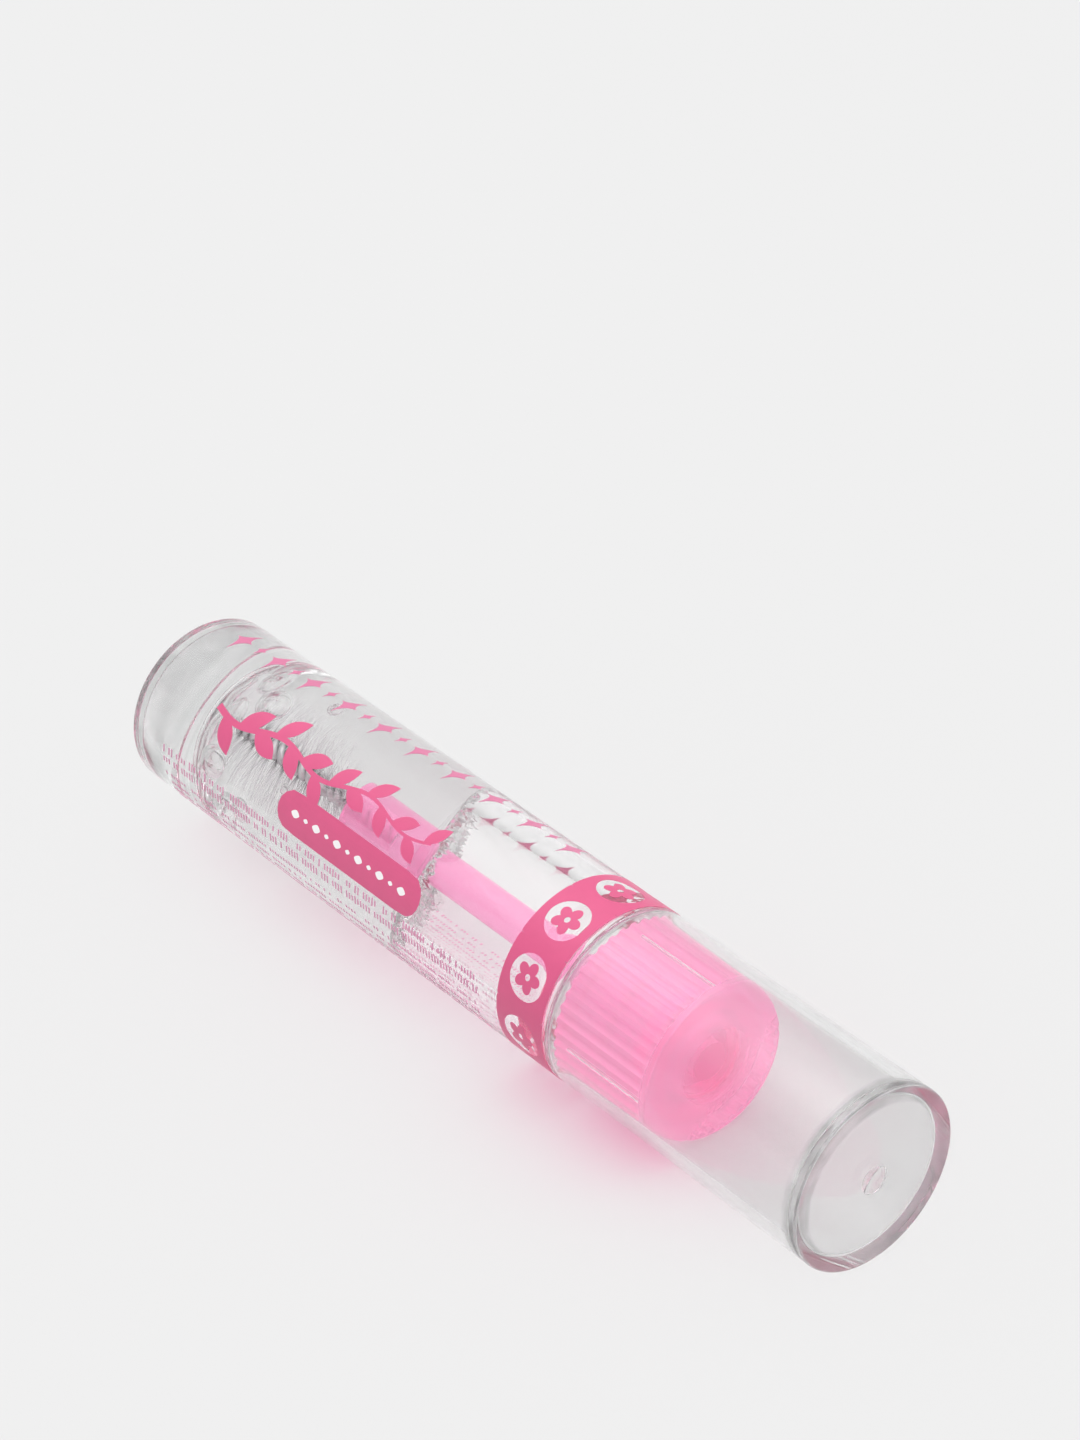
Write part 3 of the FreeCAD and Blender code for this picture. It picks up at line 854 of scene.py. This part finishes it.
class TUBE_OT_bottle(TubeOperator):
    """Make the clear bottle with its thread, wetted by the gel inside"""

    bl_idname = "tube.bottle"
    bl_label = "Bottle"

    def execute(self, context):
        size = settings("tube_bottle")
        shoulder = MOUTH - size.shoulder_gap
        plinth_top = shoulder + size.plinth_height
        bore = GEL_RADIUS + size.bore_clearance
        floor = GEL_FLOOR - size.bore_clearance
        throat = shoulder - size.throat_depth
        thread_start = plinth_top + size.thread_setback
        slope = (size.thread_root - size.thread_crest) / 2

        def ridge(along, radius, turn):
            if radius < size.neck_radius - HAIR or not plinth_top < along < NECK_TOP:
                return radius
            height = 0.0
            for lap in range(2):
                turns = lap + (-turn / FULL_TURN) % 1
                offset = abs(along - thread_start - turns * size.thread_lead)
                fade = min(1, turns / size.run_out, (size.thread_turns - turns) / size.run_out)
                face = min(1, (size.thread_root / 2 - offset) / slope)
                height = max(height, min(fade, face) * size.thread_height)
            return radius + height

        neck = [(x, size.neck_radius) for x in divided(plinth_top, NECK_TOP, THREAD_RINGS)]
        outline = rounded(
            [
                (BASE + size.recess_depth, 0),
                (BASE + size.recess_depth, size.recess_radius, size.recess_round),
                (BASE, size.recess_radius, size.fine_round),
                (BASE, TUBE_RADIUS, size.base_round),
                (shoulder, TUBE_RADIUS, size.shoulder_round),
                (shoulder, size.plinth_radius),
                (plinth_top, size.plinth_radius, size.plinth_round),
                *neck,
                (NECK_TOP, size.neck_bore),
                (throat, size.neck_bore, size.fine_round),
                (throat, bore, size.throat_round),
                (GEL_TOP, bore),
                (floor, bore, size.floor_round),
                (floor, 0),
            ],
            steps=8,
        )
        bottle = turned("bottle_shell", outline, even_angles(WALL_SIDES), ridge)
        # painted shade over the base's thicker end, in patches, for the dark surroundings seen
        # through it
        foot = ThickShade(start=floor + 0.001, full=floor - 0.003, inner=0.001, tone=(0.6, 0.615, 0.61))
        clear = clear_plastic("bottle_clear", PLASTIC_IOR, thick_shades=[foot])
        wetted = clear_plastic("bottle_wetted", PLASTIC_IOR / GEL_IOR, tint=0.81)
        dress(bottle, "bottle", [clear, wetted], ["bottle"])
        for face in bottle.data.polygons:
            if floor - HAIR < face.center.x < GEL_TOP and from_axis(face.center) < bore + HAIR:
                face.material_index = 1
        for vertex in bottle.data.vertices:
            at_level = abs(vertex.co.x - GEL_TOP) < HAIR
            if at_level and abs(from_axis(vertex.co) - bore) < HAIR:
                vertex.co.x += gel_level(vertex.co.y / bore, (vertex.co.z - AXIS_HEIGHT) / bore)
        return {"FINISHED"}


class TUBE_OT_overcap(TubeOperator):
    """Make the clear overcap with its key ribs and gate mark"""

    bl_idname = "tube.overcap"
    bl_label = "Overcap"

    def execute(self, context):
        size = settings("tube_cap")
        inner_end = CAP_END - size.end_thickness
        gate_floor = CAP_END - size.gate_depth
        rib_start = INSERT_FOOT + size.rib_setback
        rib_end = INSERT_TOP - size.bead_width
        half_rib = size.rib_width / 2 / CAP_BORE
        rib_foot = 1.3 * half_rib
        rib_room = 1.8 * half_rib
        spacing = FULL_TURN / size.rib_count

        def ribbed(along, radius, turn):
            on_bore = abs(radius - CAP_BORE) < HAIR and rib_start <= along <= rib_end
            on_rib = abs(from_nearest(turn, spacing)) < half_rib + HAIR
            return radius - size.rib_height if on_bore and on_rib else radius

        edges = (-rib_foot, -half_rib, 0, half_rib, rib_foot)
        ribs = range(size.rib_count)
        angles = [(rib * spacing + edge) % FULL_TURN for rib in ribs for edge in edges]
        for turn in even_angles(WALL_SIDES):
            if abs(from_nearest(turn, spacing)) > rib_room:
                angles.append(turn)
        outline = rounded(
            [
                (MOUTH, CAP_BORE, size.fine_round),
                (MOUTH, TUBE_RADIUS, size.mouth_round),
                (CAP_END, TUBE_RADIUS, size.end_round),
                (CAP_END, size.gate_radius, size.gate_round),
                (gate_floor, size.gate_radius, size.gate_round),
                (gate_floor, 0),
                (inner_end, 0),
                (inner_end, CAP_BORE, size.corner_round),
                (rib_end + HAIR, CAP_BORE),
                (rib_end, CAP_BORE),
                (rib_start, CAP_BORE),
                (rib_start - HAIR, CAP_BORE),
            ]
        )
        overcap = turned("overcap_shell", outline, sorted(angles), ribbed)
        for vertex in overcap.data.vertices:
            on_floor = abs(vertex.co.x - gate_floor) < HAIR
            if on_floor and from_axis(vertex.co) <= size.gate_radius:
                lean = size.gate_lean * vertex.co.y / size.gate_radius
                vertex.co.x += size.gate_depth * (0.5 - lean)
        # painted shade where the plastic is thicker: grey at the closed end, with a green cast at
        # the mouth's edge
        wall = CAP_BORE - 0.0006
        thick_shades = [
            ThickShade(start=CAP_END - 0.002, full=CAP_END - 0.0014, inner=wall, tone=grey(0.5)),
            ThickShade(start=MOUTH + 0.0005, full=MOUTH + 0.0003, inner=wall, tone=(0.5, 0.64, 0.57)),
        ]
        clear = clear_plastic("overcap_clear", PLASTIC_IOR, clarity=0.955, tint=0.87, thick_shades=thick_shades)
        dress(overcap, "cap", [clear], ["overcap"])
        return {"FINISHED"}


class TUBE_OT_insert(TubeOperator):
    """Make the fluted pink insert with its skirt, its seal ring and the boss that holds the stem"""

    bl_idname = "tube.insert"
    bl_label = "Cap insert"

    def execute(self, context):
        size = settings("tube_cap")
        outside = CAP_BORE - size.bead_height
        bead = CAP_BORE - size.fit_gap
        bead_foot = INSERT_TOP - size.bead_width
        bore = outside - size.insert_wall
        foot = INSERT_FOOT - size.skirt_reach
        ceiling = INSERT_TOP - size.disc_thickness
        seal = WIPER_TOP + size.seal_gap
        boss = STEM_RADIUS + size.boss_wall
        socket = STEM_RADIUS + size.fit_gap
        socket_end = STEM_TOP + size.fit_gap
        ring_bore = size.ring_radius - size.ring_wall

        def fluted(along, radius, turn):
            if abs(radius - outside) > HAIR:
                return radius
            off = from_nearest(turn, FULL_TURN / size.flute_count)
            away = CAP_BORE * math.sin(off)
            if abs(away) >= size.flute_radius:
                return radius
            depth = math.sqrt(size.flute_radius**2 - away**2)
            return min(radius, CAP_BORE * math.cos(off) - depth)

        outline = rounded(
            [
                (foot, bore, size.fine_round),
                (foot, outside),
                (bead_foot, outside),
                (bead_foot, bead),
                (INSERT_TOP, bead, size.fine_round),
                (INSERT_TOP, 0),
                (socket_end, 0),
                (socket_end, socket),
                (seal, socket),
                (seal, boss, size.fine_round),
                (ceiling, boss, size.boss_round),
                (ceiling, ring_bore, size.fine_round),
                (seal, ring_bore, size.ring_round),
                (seal, size.ring_radius, size.ring_round),
                (ceiling, size.ring_radius, size.fine_round),
                (ceiling, bore, size.ceiling_round),
            ],
            steps=4,
        )
        angles = even_angles(size.flute_count * FLUTE_SIDES)
        insert = turned("fluted_insert", outline, angles, fluted)
        # the disc and the insert's wall both carry the painted glow of pink_plastic, the disc a
        # weaker one
        disc = pink_plastic("disc_pink", frost=0.12, clarity=0.68, glow=0.1, core=boss)
        frosted = pink_plastic("frosted_pink", frost=0.26)
        dress(insert, "cap", [disc, frosted], ["cap_insert"])
        for face in insert.data.polygons:
            in_bore = face.center.x < ceiling + HAIR and from_axis(face.center) < bore
            if face.center.x < bead_foot or in_bore:
                face.material_index = 1
        return {"FINISHED"}


class TUBE_OT_wand(TubeOperator):
    """Make the stem and the brush, and finish the twisted wire and the wiper"""

    bl_idname = "tube.wand"
    bl_label = "Stem and brush"

    def execute(self, context):
        size = settings("tube_brush")
        hole_end = STEM_FOOT + size.hole_depth
        outline = rounded(
            [
                (STEM_TOP, 0),
                (STEM_TOP, STEM_RADIUS, size.top_round),
                (STEM_FOOT, STEM_RADIUS, size.stem_round),
                (STEM_FOOT, size.wire_hole, size.hole_round),
                (hole_end, size.wire_hole),
                (hole_end, 0),
            ]
        )
        stem = turned("stem_rod", outline, even_angles(STEM_SIDES))
        # the stem carries a faint painted glow
        pink = pink_plastic("clear_pink", frost=0.06, glow=0.07)
        dress(stem, "wand", [pink], ["brush_stem"])
        self.make_bristles(size)
        paint(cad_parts["twisted_wire"], steel_wire())
        paint(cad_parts["neck_wiper"], soft_plastic())
        return {"FINISHED"}

    def make_bristles(self, size):
        """Tufts of fibres that leave the wire by turns on its two sides and follow its twist."""
        fibre = bmesh.new()
        bmesh.ops.create_cone(
            fibre, cap_ends=True, segments=3, radius1=1.0, radius2=0.6, depth=1.0
        )
        bmesh.ops.translate(fibre, verts=fibre.verts, vec=(0, 0, 0.5))
        start = from_bmesh("bristle_field", fibre)

        layout = Layout("bristle_field")
        fibres = layout.take("Count", size.fibre_count)
        foot = layout.take("Foot", BRUSH_FOOT)
        span = layout.take("Length", BRUSH_HEEL - BRUSH_FOOT)
        pitch = layout.take("Pitch", size.wire_pitch)
        reach_out = layout.take("Reach", BRUSH_RADIUS)
        tip_reach = layout.take("Tip reach", size.tip_radius)
        tip_length = layout.take("Tip length", size.tip_length)
        heel_reach = layout.take("Heel reach", size.heel_radius)
        heel_length = layout.take("Heel length", size.heel_length)
        thickness = layout.take("Fibre radius", size.fibre_radius)
        shortest = layout.take("Shortest", size.shortest)
        tufts = layout.take("Tufts", size.tuft_count)
        tuft_spread = layout.take("Tuft spread", size.tuft_spread)
        turn_spread = layout.take("Turn spread", size.turn_spread)
        lean_spread = layout.take("Lean spread", size.lean_spread)
        seed = layout.take("Seed", size.seed)

        def strays(spread, key):
            return layout.scatter(spread * -1, spread, seed, key)

        tuft = ((layout.index() + 0.5) / fibres * tufts).math("FLOOR")
        along = (tuft + 0.5 + strays(tuft_spread, 4)) / tufts * span
        turn = along / pitch * FULL_TURN + layout.by_turns(0.0, math.pi) + strays(turn_spread, 1)
        at_tip = tip_reach + (reach_out - tip_reach) * (along / tip_length).clamped()
        at_heel = heel_reach + (reach_out - heel_reach) * ((span - along) / heel_length).clamped()
        fibre_length = at_tip.math("MINIMUM", at_heel) * layout.scatter(shortest, 1.0, seed, 2)
        rotation = layout.node(
            "FunctionNodeRotateRotation",
            {
                "Rotation": layout.turn_about((1, 0, 0), turn),
                "Rotate By": layout.turn_about((0, 1, 0), strays(lean_spread, 3)),
            },
            rotation_space="LOCAL",
        )
        copies = layout.copies(
            fibres,
            layout.vector(foot + along, 0.0, AXIS_HEIGHT),
            Rotation=rotation,
            Scale=layout.vector(thickness, thickness, fibre_length),
        )
        nylon = nylon_fibre()
        layout.finish(copies, nylon)
        dress(layout.applied(start), "wand", [nylon], ["bristles"])


class TUBE_OT_gel(TubeOperator):
    """Make the gel with its uneven surface and the air caught in it"""

    bl_idname = "tube.gel"
    bl_label = "Gel"

    def execute(self, context):
        size = settings("tube_gel")
        bottle = settings("tube_bottle")
        radius = GEL_RADIUS + bottle.bore_clearance - size.film
        floor = GEL_FLOOR - bottle.bore_clearance + size.film
        rings = 28  # closer together towards the wall, where the surface is folded
        surface = [(GEL_TOP, radius * (1 - (1 - ring / rings) ** 2)) for ring in range(rings + 1)]
        outline = rounded([*surface, (floor, radius, bottle.floor_round), (floor, 0)], steps=10)
        gel = turned("gel_in_bore", outline, even_angles(GEL_SIDES))
        paint(gel, gel_side(), wet_gel())
        for face in gel.data.polygons:
            face.material_index = int(face.center.x > GEL_TOP - HAIR)
        for vertex in gel.data.vertices:
            if vertex.co.x > GEL_TOP - HAIR:
                side, up = vertex.co.y / radius, (vertex.co.z - AXIS_HEIGHT) / radius
                vertex.co.x += gel_level(side, up)
        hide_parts("gel_fill")
        # the whole gel lies before the start, so it stays in the bottle while the wand rises
        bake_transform(gel)
        self.make_air(size)
        return {"FINISHED"}

    def make_air(self, size):
        """Flat bubbles between bristles and wall, and a lobed pocket of air at the bore's floor."""
        work = bmesh.new()

        def ball(spot, half_sizes, fineness):
            shape = spot @ Matrix.Diagonal((*half_sizes, 1))
            made = bmesh.ops.create_icosphere(work, subdivisions=fineness, radius=1.0, matrix=shape)
            return made["verts"]

        between = (BRUSH_RADIUS + GEL_RADIUS) / 2
        # each bubble's place above the floor, its turn in degrees and its three half sizes
        for along, turn, *half_sizes in (
            (0.0066, 8, 0.0021, 0.0017, 0.0011),
            (0.0036, 40, 0.0013, 0.0021, 0.0010),
            (0.0036, 86, 0.0020, 0.0014, 0.0010),
            (0.0036, -14, 0.0012, 0.0020, 0.0010),
            (0.0085, 118, 0.0014, 0.0010, 0.0008),
            (0.0115, -32, 0.0009, 0.0007, 0.0006),
            (0.0042, 160, 0.0018, 0.0014, 0.0010),
            (0.0150, 66, 0.0005, 0.0005, 0.0004),
        ):
            lean = math.radians(turn)
            spot = Matrix.Translation(place(GEL_FLOOR + along, between, lean))
            ball(spot @ Matrix.Rotation(lean, 4, "X"), half_sizes, 4)
        half, wide = size.pocket_depth / 2, size.pocket_radius
        middle = place(GEL_FLOOR + half * 1.2, 0, 0)
        for vertex in ball(Matrix.Translation(middle), (half, wide, wide), 5):
            lobes = noise.noise(vertex.co * 420)  # about 420 lobes in a metre
            vertex.co = middle + (vertex.co - middle) * (1 + size.pocket_lobes * lobes)
        bubbles = from_bmesh("gel_bubbles", work)
        bubbles.data.shade_smooth()
        dress(bubbles, "bottle", [air_in_gel()])


class TUBE_OT_ink(TubeOperator):
    """Print the band, the panel and the plain ornaments on the bottle"""

    bl_idname = "tube.ink"
    bl_label = "Printed ink"

    def execute(self, context):
        size = settings("tube_ink")
        under = INK_RADIUS - size.layer_step

        def ink(name, tint, lift):
            return printed_ink(name, tint, [min(1, part * lift) for part in tint])

        deep = ink("deep_pink_ink", size.deep_pink, 1.1)
        pale = ink("pale_pink_ink", size.pale_pink, 1.1)
        small = ink("small_pink_ink", size.small_pink, 1.2)
        white = printed_ink("white_ink", (0.85, 0.82, 0.83), (0.92, 0.90, 0.91))
        self.make_band(size, under, deep)
        self.make_panel(size, under, deep)
        self.make_panel_beads(size, white)
        self.make_sprig(size, under, deep)
        self.make_sparkles(size, under, pale)
        self.make_fine_rows(size, under, small)
        return {"FINISHED"}

    def make_band(self, size, radius, ink):
        """Band of square tiles with a round window in each, and a blossom in each window."""
        spacing = FULL_TURN / size.window_count
        square = (superellipse, (BAND_END - BAND_START) / 2, spacing * radius / 2, 60)
        petals = (blossom, size.blossom_radius, size.petal_count, size.petal_dip)
        eye = size.blossom_radius * size.blossom_eye

        def marks(layout):
            windows = layout.take("Windows", size.window_count)
            step = layout.take("Spacing", spacing * radius)
            first = layout.take("First window", size.window_turn * radius)
            middle = layout.take("Middle", (BAND_START + BAND_END) / 2)
            return layout.copies(windows, layout.vector(middle, first + layout.index() * step))

        band = flat_tile("shoulder_band", 96, 4, *square, hole=size.window_radius)
        print_on_tube(band, marks, radius, ink)
        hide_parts("printed_band")
        print_on_tube(flat_tile("band_blossoms", 60, 4, *petals, hole=eye), marks, radius, ink)

    def make_panel(self, size, radius, ink):
        half_length = (PANEL_END - PANEL_START) / 2
        panel = flat_tile("side_panel", 96, 5, pill, half_length, size.panel_width / 2)

        def marks(layout):
            middle = layout.take("Middle", (PANEL_START + PANEL_END) / 2)
            turn = layout.take("Turn", size.panel_turn * radius)
            return layout.copies(1, layout.vector(middle, turn))

        print_on_tube(panel, marks, radius, ink)
        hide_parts("printed_panel")

    def make_panel_beads(self, size, ink):
        bead = (superellipse, size.bead_length / 2, size.bead_length / 3, 1.4)
        inset = size.panel_width / 2 + size.bead_length / 2

        def marks(layout):
            beads = layout.take("Beads", size.bead_count)
            first = layout.take("First bead", PANEL_START + inset)
            span = layout.take("Length", PANEL_END - PANEL_START - 2 * inset)
            turn = layout.take("Turn", size.panel_turn * INK_RADIUS)
            small = layout.take("Small bead", size.small_bead)
            along = first + layout.index() / (beads - 1.0) * span
            large = layout.sized(layout.by_turns(1.0, small))
            return layout.copies(beads, layout.vector(along, turn), Scale=large)

        print_on_tube(flat_tile("panel_beads", 24, 3, *bead), marks, INK_RADIUS, ink)

    def make_sprig(self, size, radius, ink):
        """Swaying vine with leaves on its two sides by turns, smaller towards its end."""
        start = BASE + size.sprig_start
        first, last = size.sprig_first * radius, size.sprig_last * radius
        whole_sway = FULL_TURN * size.sprig_waves

        def middle_at(share):
            bend = size.sprig_sway * math.sin(whole_sway * share)
            along = start + size.sprig_length * share
            return Vector((along, first + (last - first) * share + bend))

        def width_at(share):
            return size.vine_width * (1.1 - 0.7 * share)  # it thins from 1.1 to 0.4 of its width

        vine = flat_ribbon("sprig_vine", middle_at, width_at, 90)
        print_on_tube(vine, lambda layout: layout.copies(1, layout.vector()), radius, ink)

        def marks(layout):
            leaves = layout.take("Leaves", size.leaf_count)
            begin = layout.take("Start", start)
            long = layout.take("Length", size.sprig_length)
            at_start = layout.take("First height", first)
            at_end = layout.take("Last height", last)
            swing = layout.take("Sway", size.sprig_sway)
            half = layout.take("Half leaf", size.leaf_length / 2)
            spread = layout.take("Spread", size.leaf_spread)
            share = (layout.index() + 0.6) / leaves  # the first stands 0.6 of a step in
            phase = share * whole_sway
            climb = (at_end - at_start) + swing * phase.math("COSINE") * whole_sway
            heading = climb.math("ARCTAN2", long) + layout.by_turns(1.0, -1.0) * spread
            smaller = 1.0 - share * 0.3  # the last is about 0.7 of the first
            reach_out = half * smaller
            along = begin + long * share + heading.math("COSINE") * reach_out
            across = at_start + (at_end - at_start) * share + swing * phase.math("SINE")
            across = across + heading.math("SINE") * reach_out
            rotation = layout.vector(z=heading)
            spot = layout.vector(along, across)
            return layout.copies(leaves, spot, Rotation=rotation, Scale=layout.sized(smaller))

        first_leaf = (leaf, size.leaf_length / 2, size.leaf_width / 2)
        print_on_tube(flat_tile("sprig_leaves", 32, 4, *first_leaf), marks, radius, ink)

    def make_sparkles(self, size, radius, ink):
        """Line of four-pointed sparkles, large and small by turns, that runs aslant."""
        star = (superellipse, size.sparkle_length / 2, size.sparkle_width / 2, 0.6)

        def marks(layout):
            sparkles = layout.take("Sparkles", size.sparkle_count)
            begin = layout.take("Start", BASE + size.line_start)
            long = layout.take("Length", size.line_length)
            at_start = layout.take("First height", size.line_first * radius)
            at_end = layout.take("Last height", size.line_last * radius)
            small = layout.take("Small sparkle", size.small_sparkle)
            share = layout.index() / (sparkles - 1.0)
            spot = layout.vector(begin + long * share, at_start + (at_end - at_start) * share)
            large = layout.sized(layout.by_turns(1.0, small))
            return layout.copies(sparkles, spot, Scale=large)

        print_on_tube(flat_tile("sparkle_line", 48, 2, *star), marks, radius, ink)

    def make_fine_rows(self, size, radius, ink):
        """Rows of plain bars of uneven height with gaps between them; the first two are larger."""
        half_width, half_height = size.bar_pitch * size.bar_width / 2, size.bar_height / 2
        work = bmesh.new()
        corners = ((-1, -1), (1, -1), (1, 1), (-1, 1))
        work.faces.new([work.verts.new((x * half_width, y * half_height, 0)) for x, y in corners])

        def marks(layout):
            columns = layout.take("Columns", int(size.rows_length / size.bar_pitch))
            rows = layout.take("Rows", size.row_count)
            begin = layout.take("Start", BASE + size.rows_start)
            pitch = layout.take("Pitch", size.bar_pitch)
            top = layout.take("First row", size.rows_turn * radius)
            step = layout.take("Row step", size.row_step)
            shortest = layout.take("Shortest bar", size.shortest_bar)
            missing = layout.take("Missing bars", size.missing_bars)
            seed = layout.take("Seed", size.seed)
            row = (layout.index() / columns).math("FLOOR")
            column = layout.index() - row * columns
            shown = layout.scatter(0.0, 1.0, seed, 1).math("GREATER_THAN", missing)
            large = (2.0 - row).clamped()  # 1 in the first two rows, which are 1.8 times as tall
            tall = layout.scatter(shortest, 1.0, seed, 2) * shown * (1.0 + large * 0.8)
            spot = layout.vector(begin + column * pitch, top + (row - large * 0.5) * step)
            return layout.copies(columns * rows, spot, Scale=layout.vector(shown, tall, 1.0))

        print_on_tube(from_bmesh("fine_rows", work), marks, radius, ink)


class TUBE_OT_stage(TubeOperator):
    """Make the floor, the light and the camera"""

    bl_idname = "tube.stage"
    bl_label = "Stage"

    def execute(self, context):
        size = settings("tube_stage")
        self.make_floor(size)
        self.make_world(context.scene)
        self.make_camera(context.scene, size)
        context.scene.view_settings.view_transform = "Standard"
        # light passes many walls, so its paths are long
        light_paths = context.scene.cycles
        light_paths.max_bounces = 96
        light_paths.transmission_bounces = 96
        light_paths.glossy_bounces = 96
        light_paths.diffuse_bounces = 24
        light_paths.transparent_max_bounces = 48
        return {"FINISHED"}

    def make_floor(self, size):
        work = bmesh.new()
        bmesh.ops.create_grid(work, x_segments=1, y_segments=1, size=size.floor_size / 2)
        floor = from_bmesh("floor", work)
        paint(floor, pale_floor(size.floor_shade, size.floor_glow))

    def make_world(self, scene):
        """Light that is strongest from above and dimmest a third of the way up."""
        world = bpy.data.worlds.new("studio")
        world.use_nodes = True
        world.node_tree.nodes.clear()
        sky = Graph(world.node_tree)
        direction = sky.node("ShaderNodeTexCoord", output="Generated")
        height = sky.node("ShaderNodeSeparateXYZ", {0: direction}, "Z")
        levels = ((0.0, 0.86), (0.05, 0.86), (0.3, 0.6), (0.55, 0.72), (0.8, 1.4), (1.0, 3.0))
        stops = [(position, grey(level)) for position, level in levels]
        light = sky.node("ShaderNodeValToRGB", {0: height}, stops=stops)
        background = sky.node("ShaderNodeBackground", {"Color": light, "Strength": 1.0})
        sky.node("ShaderNodeOutputWorld", {"Surface": background})
        scene.world = world

    def make_camera(self, scene, size):
        camera = added("camera", bpy.data.cameras.new("camera"))
        aim = Vector((size.aim_along, size.aim_across, AXIS_HEIGHT))
        level = Vector((math.sin(size.azimuth), -math.cos(size.azimuth), 0))
        back = level * math.cos(size.elevation) + Vector((0, 0, math.sin(size.elevation)))
        camera.location = aim + back * size.distance
        camera.rotation_euler = back.to_track_quat("Z", "Y").to_euler()
        camera.data.lens = size.lens
        camera.data.sensor_width = 36.0
        camera.data.sensor_fit = "AUTO"
        camera.data.clip_start = 0.01
        scene.camera = camera


class TUBE_PT_panel(bpy.types.Panel):
    """Lists the tube's operators"""

    bl_idname = "TUBE_PT_panel"
    bl_label = "Mascara tube"
    bl_space_type = "VIEW_3D"
    bl_region_type = "UI"
    bl_category = "Tube"

    def draw(self, context):
        for operator in OPERATORS:
            self.layout.operator(operator.bl_idname)


GROUPS = {
    "tube_bottle": BottleSettings,
    "tube_cap": CapSettings,
    "tube_brush": BrushSettings,
    "tube_gel": GelSettings,
    "tube_ink": InkSettings,
    "tube_stage": StageSettings,
}
OPERATORS = (
    TUBE_OT_stage,
    TUBE_OT_bottle,
    TUBE_OT_insert,
    TUBE_OT_wand,
    TUBE_OT_gel,
    TUBE_OT_overcap,
    TUBE_OT_ink,
)


def register():
    for name, group in GROUPS.items():
        bpy.utils.register_class(group)
        setattr(bpy.types.Scene, name, PointerProperty(type=group))
    for cls in OPERATORS + (TUBE_PT_panel,):
        bpy.utils.register_class(cls)


def unregister():
    for cls in OPERATORS + (TUBE_PT_panel,):
        bpy.utils.unregister_class(cls)
    for name, group in GROUPS.items():
        delattr(bpy.types.Scene, name)
        bpy.utils.unregister_class(group)


def main():
    register()
    bpy.ops.tube.stage()
    bpy.ops.tube.bottle()
    bpy.ops.tube.insert()
    bpy.ops.tube.wand()
    bpy.ops.tube.gel()
    bpy.ops.tube.overcap()
    bpy.ops.tube.ink()


if __name__ == "__main__":
    main()
